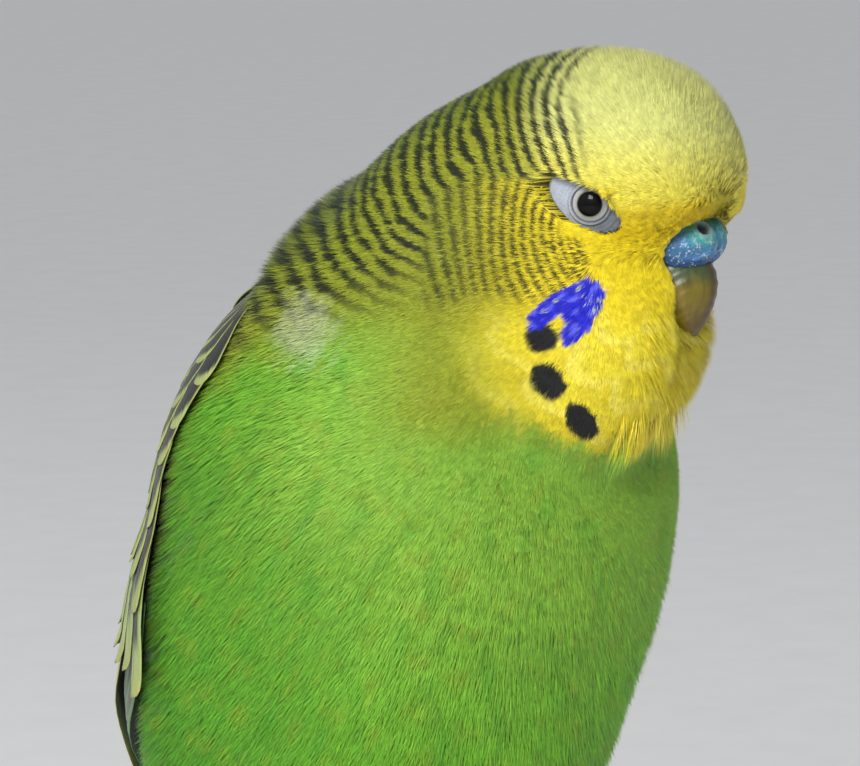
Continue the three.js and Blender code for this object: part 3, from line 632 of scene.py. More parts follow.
# Feathers of the wings and tail: thin closed vanes, arched across, with paint and the barbs' directions on them
def vane_width(t):
    tip = np.where(t > 0.72, np.sqrt(np.maximum(0, 1 - ((t - 0.72) / 0.285) ** 2)), 1)
    return mix(0.5, 1, smooth(t / 0.35)) * np.maximum(tip, 0.06)


class Vanes:
    """Collects feathers and makes them one mesh."""

    def __init__(self):
        self.points, self.faces, self.paint, self.vane, self.count = [], [], [], [], 0

    def add(self, upper, thick, out, paint, along, across, seed):
        """upper, thick, out and paint: values at stations x points across. Both sides and the rim are closed."""
        n, m = upper.shape[:2]
        lower = upper - out * thick[..., None]
        points = np.concatenate([upper.reshape(-1, 3), lower.reshape(-1, 3)])
        top = grid_faces(n, m, wrap=False)
        rim = np.concatenate([np.arange(m - 1), np.arange(n - 1) * m + m - 1,
                              n * m - 1 - np.arange(m - 1), (n - 1 - np.arange(n - 1)) * m])
        after = np.roll(rim, -1)
        edge = np.stack([after, rim, rim + n * m, after + n * m], -1)
        self.faces.append(np.concatenate([top, top[:, ::-1] + n * m, edge]) + self.count)
        self.points.append(points)
        self.paint.append(np.concatenate([paint.reshape(-1, 3), paint.reshape(-1, 3) * 0.6]))
        v = np.stack([along, across, np.full(along.shape, seed)], -1).reshape(-1, 3)
        self.vane.append(np.concatenate([v, v]))
        self.count += len(points)

    def make(self, name, turned=False):
        faces = np.concatenate(self.faces)
        if turned:
            faces = faces[:, ::-1]
        return make_mesh(name, np.concatenate(self.points), faces, colours=np.concatenate(self.paint),
                         extra={"Vane": np.concatenate(self.vane)})


WING_FORMS = FORMS + [TAIL_ROOM]
COAT_CLEAR = 0.75


def wing_base(s, angle):
    """Where the folded left wing lies on the body."""
    t = fade(s, -20, -62)
    start = body(0 * s, mix(0, 5.5, t), s)
    way = X * np.sin(angle)[..., None] + D * np.cos(angle)[..., None]
    return cast(start, way, lambda q: blended(q, WING_FORMS) - COAT_CLEAR, 40)


WING_FROM, WING_TO, WING_TURN = 40, -96, 100  # the table's first and last s, and its degrees from the back
WING_ROWS, WING_COLUMNS = 120, 70
wing_s, wing_a = np.meshgrid(np.linspace(WING_FROM, WING_TO, WING_ROWS),
                             np.radians(np.linspace(0, WING_TURN, WING_COLUMNS)), indexing="ij")
WING_BASE = wing_base(wing_s, wing_a)
WING_OUT = outward(WING_BASE, WING_FORMS)
MIRROR = np.array([-1.0, 1, 1])


def wing_point(side, s, angle, height):
    """Points at a height over the wing's base, and their outward normals."""
    i = np.clip((WING_FROM - s) / (WING_FROM - WING_TO) * (WING_ROWS - 1), 0, WING_ROWS - 1.001)
    j = np.clip(angle / math.radians(WING_TURN) * (WING_COLUMNS - 1), 0, WING_COLUMNS - 1.001)
    a, b = i.astype(int), j.astype(int)
    fa, fb = (i - a)[..., None], (j - b)[..., None]

    def read(table):
        return mix(mix(table[a, b], table[a, b + 1], fb), mix(table[a + 1, b], table[a + 1, b + 1], fb), fa)

    p, out = read(WING_BASE), unit(read(WING_OUT))
    p = p + out * height[..., None]
    if side < 0:
        return p * MIRROR, out * MIRROR
    return p, out


def leading(s):
    return 58 - 14 * fade(s, 20, 31) + 26 * fade(s, 6, -26) - 58 * fade(s, -26, -88)


def trailing(s):
    return 3 + 29 * fade(s, 8, 33)


def wing_lift(s):
    """Share of the feathers' height: flat under the shoulder's coat, fuller over the rump."""
    return np.interp(s, (-88, -60, -45, -30, -20, -10, 0, 10, 20, 30),
                     (1, 1.2, 1.45, 1.4, 0.8, 0.75, 0.7, 0.55, 0.4, 0))


YELLOW_EDGE = srgb(160, 160, 78)
PALE_TIP = srgb(140, 156, 92)
VANE_BLACK = srgb(17, 19, 18)
FLIGHT_GREY = srgb(44, 50, 44)
GREEN_EDGE = srgb(84, 128, 66)


def covert_paint(t, e, g):
    """Black feather with a broad pale yellow-green margin round its tip."""
    rim = np.abs(e) ** 2 * 0.9 + fade(t, 0.55, 1.0) * 0.75
    margin = tint(PALE_TIP, YELLOW_EDGE, (0.5 + 0.5 * np.sin(9 * e + g.uniform(0, 6))) * 0.6)
    return tint(VANE_BLACK, margin, fade(rim, 0.62, 0.74))


def greater_paint(t, e, g):
    """Black middle, green-yellow margins, and a pale round tip."""
    edge = np.maximum(fade(np.abs(e + 0.05), 0.52, 0.66), fade(t + 0.10 * np.abs(e), 0.70, 0.80))
    return tint(VANE_BLACK, tint(PALE_TIP, YELLOW_EDGE, fade(t, 0.72, 0.95) * 0.5), edge)


def secondary_paint(t, e, g):
    edge = np.maximum(fade(-e, 0.30, 0.44), fade(t, 0.93, 0.98) * 0.8)
    return tint(VANE_BLACK, tint(GREEN_EDGE, YELLOW_EDGE, fade(-e, 0.5, 0.9)), edge)


def primary_paint(t, e, g):
    edge = fade(-e, 0.66, 0.86) * fade(t, 0.95, 0.75)
    bar = fade(np.abs(t - 0.42), 0.10, 0.05) * fade(e, -0.1, 0.3) * 0.5
    return tint(tint(FLIGHT_GREY * 0.6, GREEN_EDGE * 0.8, edge), YELLOW_EDGE, bar)


# count, s and w of the first and last root, of the tips, width, heights of first and last at root and tip, paint
TIERS = [
    (9, (-12, -16), (0.06, 0.6), (-88, -62), (0.47, 0.42), 8.0, (0.15, 0.7), (0.2, 1.7), primary_paint, 0.2),
    (11, (-12, -6), (0.34, 0.95), (-62, -40), (0.26, 0.88), 7.6, (1.0, 1.2), (1.5, 2.4), secondary_paint, 0.35),
    (12, (0, 4), (0.05, 0.94), (-22.5, -25), (0.01, 0.95), 6.6, (1.2, 1.6), (2.0, 3.0), greater_paint, 0.35),
    (11, (6, 8), (0.04, 0.94), (-12, -12), (0.01, 0.95), 6.8, (1.2, 1.5), (2.5, 3.1), covert_paint, 0.35),
    (10, (12, 14), (0.05, 0.93), (-4, -4), (0.02, 0.94), 6.4, (1.2, 1.4), (2.4, 2.9), covert_paint, 0.35),
    (9, (17, 19), (0.06, 0.92), (3, 3.5), (0.03, 0.93), 6.2, (1.0, 1.2), (2.2, 2.7), covert_paint, 0.35),
    (8, (22, 23), (0.08, 0.92), (10, 10.5), (0.04, 0.93), 6.0, (0.7, 0.9), (1.8, 2.2), covert_paint, 0.3),
    (7, (27, 28), (0.1, 0.9), (17, 17.5), (0.05, 0.92), 5.6, (0.3, 0.5), (1.3, 1.6), covert_paint, 0.3),
    (5, (8, 12), (0.80, 0.99), (-17, -24), (0.80, 1.0), 7.6, (2.9, 3.1), (3.3, 3.5), covert_paint, 0.3),
    (5, (18, 20), (0.80, 0.99), (-5, -9), (0.78, 1.0), 7.2, (3.1, 3.3), (3.6, 3.8), covert_paint, 0.3),
    (5, (27, 28), (0.82, 0.99), (8, 6), (0.80, 1.0), 6.8, (3.2, 3.4), (3.9, 4.2), covert_paint, 0.3),
]
STATIONS, ACROSS = 22, 13
ARCH, SEAT = 0.32, 0.45  # how far a vane's middle stands over its edges, and all of it over its place


def build_wing(side, name):
    made = Vanes()
    g = np.random.default_rng(31)
    t, e = np.meshgrid(np.linspace(0, 1, STATIONS), np.linspace(-1, 1, ACROSS), indexing="ij")
    for count, root, root_w, tip, tip_w, wide, low, high, paint, tilt in TIERS:
        for k in range(count):
            q = k / (count - 1)
            s0, s1 = mix(*root, q) + g.normal(0, 0.4), mix(*tip, q) + g.normal(0, 0.5)
            w = mix(mix(*root_w, q), mix(*tip_w, q), t) + g.normal(0, 0.004)
            s = mix(s0, s1, t)
            half = wide / 2 * g.uniform(0.94, 1.06) * vane_width(t)
            middle = np.radians(mix(leading(s), trailing(s), w))
            base, _ = wing_point(1, s, middle, 0 * s)
            radius = np.linalg.norm((base - CENTRE) @ np.array([X, D]).T, axis=-1)
            angle = middle - e * half / radius
            h = mix(mix(*low, q), mix(*high, q), t) - tilt * e * 1.2 + ARCH * (1 - e * e) + SEAT
            h = (h + 0.03 * np.sin(t * 30 + 9 * np.abs(e)) * np.abs(e)) * wing_lift(s)
            h = h - 0.75 * fade(s, -14, -2) - 0.9 * fade(s, 22, 31)
            shaft = np.exp(-((e - 0.1) / 0.07) ** 2) * (1 - t) * 0.12
            points, out = wing_point(side, s, angle, np.maximum(h, -1.5) + shaft)
            colours = paint(t, e, g) * g.uniform(0.9, 1.1)
            thick = 0.10 + 0.22 * (1 - e * e) * (1 - 0.6 * t)
            made.add(points, thick, out, colours, t * (s0 - s1), e * half, g.uniform(0, 50))
    return made.make(name, turned=side < 0)


def feather_material(name):
    """Barbs run out and back from the shaft at a slant: fine lines in colour and in relief."""
    m = Shade(name, Specular_IOR_Level=0.45, Sheen_Weight=0.12, Sheen_Roughness=0.35)
    split = m.add("SeparateXYZ")
    m.link(m.attribute("Vane", "Vector"), split.inputs[0])
    along, across, seed = split.outputs
    slant = m.math("SUBTRACT", along, m.math("MULTIPLY", m.math("ABSOLUTE", across), 1.15))
    place = m.add("CombineXYZ")
    m.link(m.math("MULTIPLY", slant, 4.2), place.inputs[0])
    m.link(m.math("MULTIPLY", across, 0.35), place.inputs[1])
    m.link(seed, place.inputs[2])
    barbs = m.noise(1.0, 3, place.outputs[0], rough=0.65)
    shaft = m.range(m.math("ABSOLUTE", across), 0.10, 0.22, 0.55, 1.0)
    m.paint(m.math("MULTIPLY", m.vary(barbs, 0.72, 1.25), shaft))
    m.rough(m.vary(barbs, 0.42, 0.62))
    m.bump(barbs, 0.5, 0.00012)
    return m.material


wing_material = feather_material("flight_feathers")
for side, name in ((1, "left"), (-1, "right")):
    finish_piece(build_wing(side, "feathers_wing_" + name), wing_material, "wing_feathers", "wing_" + name)

# Tail
TAIL_BLUE = srgb(30, 62, 98)
TAIL_GREEN = srgb(52, 110, 84)
TAIL_YELLOW = srgb(196, 194, 72)
TAIL_PAIRS, TAIL_ROOT = 6, 63


def tail_paint(t, e, k):
    if k == 0:
        return tint(TAIL_BLUE, TAIL_GREEN, fade(t, 0.35, 0.0) * 0.8 + 0 * e)
    c = tint(TAIL_BLUE * 0.8, TAIL_GREEN, fade(-e, -0.3, 0.6))
    band = fade(t + 0.12 * e, 0.42, 0.52) * fade(t + 0.12 * e, 0.86, 0.76) * fade(np.abs(e - 0.1), 0.95, 0.6)
    return tint(tint(c, TAIL_YELLOW, band), VANE_BLACK, fade(np.abs(e), 0.86, 1.0) * 0.6)


def build_tail():
    made = Vanes()
    g = np.random.default_rng(41)
    t, e = np.meshgrid(np.linspace(0, 1, 34), np.linspace(-1, 1, 11), indexing="ij")
    for side in (-1, 1):
        for k in range(TAIL_PAIRS):
            length = 142 - 10.8 * k
            s = mix(-TAIL_ROOT, -length, t)
            x = side * mix(1 + 0.75 * k, 1.6 + 1.75 * k, t)
            half = 4.2 * mix(vane_width(t), np.maximum(0.10, 1 - t * t), 0.55) * (1 - 0.04 * k)
            level = 9.4 - 0.58 * (k + (0 if side > 0 else 0.5))
            d = level + 0.55 - 0.4 * e * e + 0.03 * np.sin(t * 40 + 6 * np.abs(e)) * np.abs(e)
            shaft = np.exp(-((e - 0.05) / 0.08) ** 2) * 0.16 * (1 - 0.7 * t)
            points = body(x + side * e * half, d + shaft, s)
            out = np.broadcast_to(D, points.shape)
            colours = tail_paint(t, -e, k) * g.uniform(0.92, 1.08)
            thick = 0.12 + 0.25 * (1 - e * e) * (1 - 0.6 * t)
            across = e * half
            if side < 0:
                points, colours, thick, across = (v[:, ::-1] for v in (points, colours, thick, across))
            made.add(points, thick, out, colours, t * (length - TAIL_ROOT), across, g.uniform(0, 50))
    return made.make("feathers_tail", turned=True)


finish_piece(build_tail(), wing_material, "tail_feathers", "tail")


# s of the roots and tips of each row of tail coverts
COVERT_ROWS = ((-68, -105), (-62, -94), (-56, -84))


def build_tail_coverts():
    """Pointed green feathers that close the end of the body over and under the tail."""
    made = Vanes()
    g = np.random.default_rng(43)
    t, e = np.meshgrid(np.linspace(0, 1, 20), np.linspace(-1, 1, 9), indexing="ij")
    for above in (True, False):
        for row, (first, last) in enumerate(COVERT_ROWS):
            count = 5 + row
            for k in range(count):
                q = 2 * k / (count - 1) - 1
                s = mix(first, last + 9 * q * q + g.uniform(-1, 1), t)
                half = 3.7 * np.maximum(vane_width(t) * (1 - 0.5 * t * t), 0.08)
                x = mix(q * (8.4 + row), q * (6.4 + 1.6 * row), t) + e * half
                swell = np.sqrt(np.maximum(1 - ((s + 60) / 29) ** 2, 0.0))
                across = np.sqrt(np.maximum(1 - (x / 15.5) ** 2, 0.05))
                if above:
                    d = np.maximum(6.5 + 10.2 * swell * across, 10.6 - 0.02 * x * x) + 0.5 * row + 0.2 * t
                else:
                    d = np.minimum(6.5 - 10.2 * swell * across, 4.2 + 0.02 * x * x) - 0.5 * row - 0.2 * t
                points = body(x, d, s)
                colours = tint(GREEN * 0.8, GREEN_LOW * 0.9, t) * g.uniform(0.85, 1.1)
                colours = tint(colours, srgb(150, 176, 60), 0.35 * fade(np.abs(e), 0.6, 1.0) * t)
                thick = 0.10 + 0.18 * (1 - e * e) * (1 - 0.6 * t)
                out = np.broadcast_to(D if above else -D, points.shape)
                if not above:
                    points, colours, thick, out = (v[:, ::-1] for v in (points, colours, thick, out))
                made.add(points, thick, out, colours, t * (first - last), e * 3.7, g.uniform(0, 50))
    return made.make("feathers_tail_coverts", turned=True)


finish_piece(build_tail_coverts(), wing_material, "plumage_green")


# Closed forms
def closed_rings(rings, start, end):
    """Rings of as many points each, closed by a fan round a point at each end: points and triangles."""
    rows, sides = rings.shape[:2]
    quads = grid_faces(rows, sides)
    j = np.arange(sides)
    k = (j + 1) % sides
    n = rows * sides
    fans = [np.stack([np.full(sides, n), k, j], -1),
            np.stack([np.full(sides, n + 1), n - sides + j, n - sides + k], -1)]
    points = np.concatenate([rings.reshape(-1, 3), np.atleast_2d(start), np.atleast_2d(end)])
    return points, np.concatenate([quads[:, [0, 1, 2]], quads[:, [0, 2, 3]], *fans])


def tube(points, radii, up, beyond=0.4):
    """A closed form round a path. radii: rings x sides; beyond: how far each end stands out, as a share of them."""
    sides = radii.shape[1]
    along = unit(np.gradient(points, axis=0))
    a = unit(up - along * (along * up).sum(-1, keepdims=True))
    b = np.cross(along, a)
    turn = 2 * np.pi * np.arange(sides) / sides
    rings = points[:, None] + a[:, None] * (np.cos(turn) * radii)[..., None] + b[:, None] * (
        np.sin(turn) * radii)[..., None]
    ends = along[[0, -1]] * radii[[0, -1]].mean(1, keepdims=True) * beyond
    return closed_rings(rings, points[0] - ends[0], points[-1] + ends[1])


def joined_mesh(name, parts, colours=None):
    """Closed forms made one mesh. colours: a function of points."""
    points, faces, count = [], [], 0
    for some, triangles in parts:
        points.append(some)
        faces.append(triangles + count)
        count += len(some)
    points = np.concatenate(points)
    return make_mesh(name, points, np.concatenate(faces), colours=colours and colours(points))


# Eyes
def ball(origin, axes, half, rows, sides, dent=None):
    polar = np.linspace(0, np.pi, rows)[:, None]
    turn = (2 * np.pi * np.arange(sides) / sides)[None]
    q = np.stack([np.cos(polar) + 0 * turn, np.sin(polar) * np.cos(turn), np.sin(polar) * np.sin(turn)], -1)
    k = np.ones(q.shape[:2]) if dent is None else dent(q)
    p = origin + sum((q[..., i] * k * half[i])[..., None] * axes[i] for i in range(3))
    quads = grid_faces(rows, sides)
    return p.reshape(-1, 3), np.concatenate([quads[:, [0, 1, 2]], quads[:, [0, 2, 3]]])


PUPIL, IRIS = 1.55, 2.25


def eye_paint(side):
    origin, out, long, short = eye_frame(side)

    def paint(p):
        q = p - origin
        a, b, h = q @ long, q @ short, q @ out
        r = np.hypot(a, b)
        turn = np.arctan2(b, a)
        streak = 0.92 + 0.08 * np.sin(turn * 37 + 3 * np.sin(turn * 11)) * np.sin(r * 9)
        c = tint(srgb(166, 166, 160) * streak[:, None], srgb(96, 98, 98), fade(r, 1.95, 1.6) * 0.6)
        c = tint(c, srgb(2, 2, 2), fade(r, PUPIL + 0.12, PUPIL - 0.02))
        c = tint(c, srgb(18, 18, 20), fade(r, IRIS - 0.06, IRIS + 0.04))
        return tint(c, srgb(6, 6, 7), h < 0)
    return paint


eye_shade = Shade("eye_gloss", Roughness=0.5, Specular_IOR_Level=0.05,
                  Coat_Weight=0.5, Coat_Roughness=0.03, Coat_IOR=1.25)
eye_shade.paint(eye_shade.vary(eye_shade.noise(2600), 0.88, 1.1))
for side, name in ((1, "left"), (-1, "right")):
    origin, out, long, short = eye_frame(side)
    eye = joined_mesh("eyeball_" + name, [ball(origin, (out, long, short * side), (EYE_RADIUS,) * 3, 96, 96)],
                      eye_paint(side))
    finish_piece(eye, eye_shade.material, "eye", "eye_" + name)

# Bare skin and lids round each eye
LID_ROWS, LID_SIDES = 26, 120


def build_lids(side, name):
    origin, out, long, short = eye_frame(side)
    turn = (2 * np.pi * np.arange(LID_SIDES) / LID_SIDES)[None]
    t = np.linspace(0, 1, LID_ROWS)[:, None]
    edge = lid_reach(turn) * 1.16 + 0.2
    r = EYE_OPENING - 0.06 + (edge - EYE_OPENING) * t ** 1.15
    rim = math.sqrt(EYE_RADIUS**2 - EYE_OPENING**2)
    beyond = r - EYE_OPENING
    lip = 0.34 * np.exp(-((beyond - 0.26) / 0.2) ** 2)
    fall = 0.16 * np.clip(beyond, 0, 9) ** 1.3 + 0.9 * fade(t, 0.86, 1.0)
    fold = 0.02 * np.sin(beyond * 11 + 0.8 * np.sin(turn * 5)) * fade(beyond, 0.4, 0.9)
    grain = 0.025 * np.sin(turn * 47 + beyond * 8) * np.sin(beyond * 17 + turn * 9)
    h = rim + 0.10 + lip - fall + fold + grain
    h = np.where(t == 0, rim - 0.05, h)
    a, b = r * np.cos(turn), r * np.sin(turn)
    p = origin + a[..., None] * long + b[..., None] * short + h[..., None] * out
    wave = ripple(p, 1.1, 77)
    tone = 1 + 0.08 * wave + 0.03 * np.sin(beyond * 11 + 0.8 * np.sin(turn * 5)) - 0.35 * (beyond < 0.10)
    base = tint(srgb(150, 156, 166), srgb(104, 110, 116), fade(-a, -2, 3.4))
    paint = np.clip(base * tone[..., None], 0, 1)
    faces = grid_faces(LID_ROWS, LID_SIDES)
    return make_mesh("lids_" + name, p.reshape(-1, 3), faces if side < 0 else faces[:, ::-1],
                     colours=paint.reshape(-1, 3))


lid_shade = Shade("eye_skin", Subsurface_Weight=0.1, Subsurface_Radius=(0.0006, 0.0003, 0.0002),
                  Subsurface_Scale=1.0, Specular_IOR_Level=0.4)
lid_material = lid_shade.grained(lid_shade.noise(5200), (0.82, 1.12), (0.5, 0.7), (0.5, 0.00008))
for side, name in ((1, "left"), (-1, "right")):
    finish_piece(build_lids(side, name), lid_material, "eye_skin", "eyelid_" + name)

# Cere
CERE_AT, CERE_HALF = head(9.6, 0, -5.4)[0], (5.6, 6.5, 4.0)
NOSTRIL = (13.7, 2.6, -3.6)


def build_cere():
    def groove(q):
        """A shallow groove between the nostrils, from the outside towards the middle."""
        return 1 - 0.07 * np.exp(-((q[..., 1] / 0.13) ** 2)) * np.clip(q[..., 0] * 2, 0, 1)

    p, faces = ball(CERE_AT, (F, L, Z), CERE_HALF, 110, 150, groove)
    f, l, u = in_head(p)
    out = unit((p - CERE_AT) @ HEAD_AXES.T / np.square(CERE_HALF)) @ HEAD_AXES
    r = np.sqrt((f - NOSTRIL[0]) ** 2 + (np.abs(l) - NOSTRIL[1]) ** 2 + (u - NOSTRIL[2]) ** 2)
    pit = -1.1 * fade(r, 1.0, 0.5) + 0.25 * np.exp(-((r - 1.2) / 0.3) ** 2)
    flakes = 0.05 * ripple(p, 0.9, 61) + 0.04 * ripple(p, 0.45, 62)
    rim = 0.22 * np.exp(-((u + 8.9) / 0.22) ** 2)
    p = p + out * (pit + flakes + rim)[:, None]
    c = tint(srgb(52, 104, 150), srgb(36, 66, 112), fade(u, -5.5, -8.5) * 0.8)
    # Painted sheen: a teal tint round each nostril
    c = tint(c, srgb(62, 138, 124), fade(r, 4.2, 1.2) * fade(u, -7.5, -4.5) * 0.9)
    c = c * (1 + 0.22 * ripple(p, 1.6, 63) + 0.12 * ripple(p, 0.5, 64))[:, None]
    scratch = np.abs(ripple(p * [1, 1, 0.55], 1.7, 65) + 0.35 * ripple(p, 0.8, 66))
    white = fade(scratch, 0.10, 0.02) * fade(u, -3.4, -6.5) * 0.75 + fade(u, -8.4, -9.0) * 0.6
    c = tint(c, srgb(196, 204, 200), np.clip(white, 0, 0.85))
    c = tint(c, srgb(120, 128, 132), fade(r, 1.5, 1.25) * fade(r, 0.7, 0.9) * 0.7)
    c = tint(c, srgb(52, 56, 62), fade(r, 1.0, 0.7))
    return make_mesh("cere_skin", p, faces, colours=np.clip(c, 0, 1))


cere_shade = Shade("cere_surface", Specular_IOR_Level=0.5, Subsurface_Weight=0.12,
                   Subsurface_Radius=(0.0004, 0.0005, 0.0008), Subsurface_Scale=1.0)
finish_piece(build_cere(), cere_shade.grained(
    cere_shade.noise(2400, 4, distortion=1.2), (0.78, 1.2), (0.3, 0.6), (0.6, 0.00015)), "cere", "cere")

# Beak: stations of a point on the ridge, one on the inner side, and the half width
UPPER_BEAK = np.array([
    (11.5, -6.0, 5.5, -11.0, 4.6), (13.6, -8.2, 6.0, -13.0, 4.8), (14.35, -10.5, 7.2, -14.4, 4.5),
    (14.0, -13.0, 8.6, -15.4, 3.8), (13.2, -15.1, 9.2, -16.2, 2.9), (12.1, -17.1, 9.6, -17.0, 1.75),
    (10.6, -18.5, 10.2, -18.1, 0.35),
])
LOWER_BEAK = np.array([
    (6.2, -13.6, 3.2, -19.0, 3.1), (9.4, -16.2, 6.8, -20.2, 3.3), (10.6, -17.6, 9.4, -20.4, 2.5),
    (11.1, -19.1, 10.7, -19.7, 0.4),
])


def build_beak(name, table, steps, sides):
    rows = along_path(table, np.linspace(0, 1, steps))
    t = 2 * np.pi * np.arange(sides) / sides
    outer, inner = head(rows[:, 0], 0, rows[:, 1]), head(rows[:, 2], 0, rows[:, 3])
    middle, a = (outer + inner) / 2, (outer - inner) / 2
    s = np.sin(t)
    narrow = np.where(np.cos(t) > 0, np.abs(s) ** 1.25 * np.sign(s), s)
    growth = 1 + 0.012 * np.sin(np.linspace(0, 1, steps) * 60)[:, None] * np.ones(sides)
    p = middle[:, None] + a[:, None] * (np.cos(t)[None] * growth)[..., None] + L * (
        np.maximum(rows[:, 4], 0.2)[:, None] * narrow * growth)[..., None]
    flat, faces = closed_rings(p, middle[0], middle[-1])
    f, l, u = in_head(flat)
    c = tint(srgb(122, 106, 18), srgb(74, 88, 52), fade(u, -11.5, -9.0))
    c = tint(c, srgb(96, 70, 14), fade(u, -12, -17) * fade(f, 9, 13))
    c = tint(c, srgb(72, 48, 22), fade(np.abs(l), 1.6, 0.2) * fade(f, 12.2, 13.6) * 0.7)
    pale = np.exp(-((np.abs(l) - 2.9) / 0.35) ** 2) * fade(u, -8.5, -10) * fade(u, -16, -13)
    c = tint(c, srgb(170, 150, 60), pale * 0.25)
    c = 0.62 * c * (1 + 0.10 * ripple(flat * np.array([1, 1, 0.35]), 1.2, 71))[:, None]
    return make_mesh(name, flat, faces, colours=np.clip(c, 0, 1))


horn = Shade("horn", Specular_IOR_Level=0.35, Subsurface_Weight=0.03, Subsurface_Radius=(0.0012, 0.0007, 0.0003),
             Subsurface_Scale=1.0, Coat_Weight=0.1, Coat_Roughness=0.3)
horn_material = horn.grained(
    horn.noise(1.0, 4, horn.place(1700, 1700, 320)), (0.8, 1.18), (0.28, 0.5), (0.35, 0.00012))
finish_piece(build_beak("beak_upper_horn", UPPER_BEAK, 60, 64), horn_material, "beak_horn", "beak_upper")
finish_piece(build_beak("beak_lower_horn", LOWER_BEAK, 30, 48), horn_material, "beak_horn", "beak_lower")

# Perch, feet and claws
PERCH_AT, PERCH_RADIUS = np.array([0, -3.5, 73.5]), 6.5
PERCH_LENGTH = 96


def round_perch(x, angle, r):
    x, angle, r = np.broadcast_arrays(*np.atleast_1d(x, angle, r))
    a = np.radians(angle)
    return np.stack([x, PERCH_AT[1] - r * np.sin(a), PERCH_AT[2] + r * np.cos(a)], -1)


FOOT_X, TOE, RISE = 9.5, 1.35, PERCH_RADIUS + 0.3
# Toes: number, way round the perch, x of root and tip from the foot's middle, the toe's turn and its claw's
TOES = [(1, -1, -1.5, -3.4, 72, 42), (2, 1, -1.5, -3.8, 92, 44),
        (3, 1, 1.3, 2.2, 122, 46), (4, -1, 1.5, 3.6, 112, 44)]
SCUTES = 15


def build_toe(side, way, root, end, to):
    t = np.linspace(0, 1, 90)
    ring = 2 * np.pi * np.arange(20) / 20
    path = round_perch(side * (FOOT_X + mix(root, end, t)), way * to * t, RISE + TOE * 1.1)
    saw = (SCUTES * t) % 1
    step = 0.10 * smooth(saw / 0.8) * fade(saw, 1.0, 0.86) * np.clip(t * 6, 0, 1)
    radius = TOE * (1 - 0.22 * t) * (1 + 0.07 * np.cos(6 * np.pi * t))
    pads = 0.07 * np.sin(t * 46)[:, None] * np.clip(-np.cos(ring), 0, 1)
    upper = np.clip(np.cos(ring), 0, 1) ** 0.5
    radii = radius[:, None] * (1 + step[:, None] * upper + pads + 0.02 * np.sin(9 * ring)[None])
    up = unit((path - PERCH_AT) * [0, 1, 1])
    along = unit(np.gradient(path, axis=0))
    b = np.cross(along, up)
    rings = path[:, None] + up[:, None] * (np.cos(ring) * radii)[..., None] + b[:, None] * (
        np.sin(ring) * radii)[..., None]
    return closed_rings(rings, path[0], path[-1] + along[-1] * 0.5)


def build_foot(side):
    parts = [build_toe(side, *toe[1:5]) for toe in TOES]
    palm_at = np.array([side * FOOT_X, PERCH_AT[1], PERCH_AT[2] + RISE + 1.9])
    parts.append(ball(palm_at, (Z, X, np.array([0, 1.0, 0])), (1.75, 3.1, 3.0), 40, 48))
    t = np.linspace(0, 1, 70)
    at = PERCH_AT + [side * FOOT_X, 0, RISE]
    path = along_path([at + [0, 0.2, 1.6], at + [0.3 * side, 1.2, 6], at + [0.8 * side, 2.6, 14]], t)
    ring = 2 * np.pi * np.arange(28) / 28
    cell = np.sin(ring * 5 + np.floor(t * 16)[:, None] % 2 * np.pi)
    radii = (1.55 + 0.35 * t)[:, None] * (1 + 0.035 * cell + 0.04 * np.sin(t * 100)[:, None])
    parts.append(tube(path, radii, np.array([0, -1.0, 0])))
    return parts


def foot_paint(p):
    c = tint(srgb(150, 138, 148), srgb(120, 112, 128), fade(ripple(p, 3, 81), -0.5, 0.8))
    return np.clip(c * (1 + 0.12 * ripple(p, 0.7, 82))[:, None], 0, 1)


foot_shade = Shade("foot_scales", Specular_IOR_Level=0.4, Subsurface_Weight=0.15,
                   Subsurface_Radius=(0.0008, 0.0004, 0.0003), Subsurface_Scale=1.0)
cells = foot_shade.add("TexVoronoi", feature="DISTANCE_TO_EDGE")
cells.inputs["Scale"].default_value = 1500
foot_shade.link(foot_shade.place(), cells.inputs["Vector"])
edge = foot_shade.range(cells.outputs["Distance"], 0.0, 0.12, 0.62, 1.0)
foot_shade.paint(edge)
foot_shade.rough(foot_shade.range(cells.outputs["Distance"], 0.0, 0.2, 0.75, 0.5))
foot_shade.bump(edge, 0.5, 0.00015)
claw_shade = Shade("claw_horn", Specular_IOR_Level=0.5, Coat_Weight=0.3, Coat_Roughness=0.2)
line = claw_shade.noise(1.0, 3, claw_shade.place(900, 2600, 2600))
claw_shade.colour(claw_shade.ramp(line, (0.3, srgb(46, 42, 44)), (0.7, srgb(96, 88, 88))))
claw_shade.rough(claw_shade.vary(line, 0.28, 0.45))
for side, name in ((1, "left"), (-1, "right")):
    foot = joined_mesh("foot_scaled_" + name, build_foot(side), foot_paint)
    finish_piece(foot, foot_shade.material, "foot_skin", "foot_" + name)
    for number, way, root, end, to, claw_reach in TOES:
        t = np.linspace(0, 1, 26)
        path = round_perch(side * (FOOT_X + end + (end - root) * 0.25 * t), way * (to + 7.4 + claw_reach * t),
                           RISE + 1.15 + 0.5 * t * t)
        radius = 0.82 * (1 - 0.86 * t**1.2) * np.clip(0.7 + t * 6, 0, 1)
        claw = joined_mesh("claw_%s_%d_horn" % (name, number), [tube(path, np.repeat(radius[:, None], 18, 1), X)])
        finish_piece(claw, claw_shade.material, "claw_horn", "claw_%s_%d" % (name, number))


KNOT_X, KNOT_TURN = 33, 1.2
END_RINGS = 14


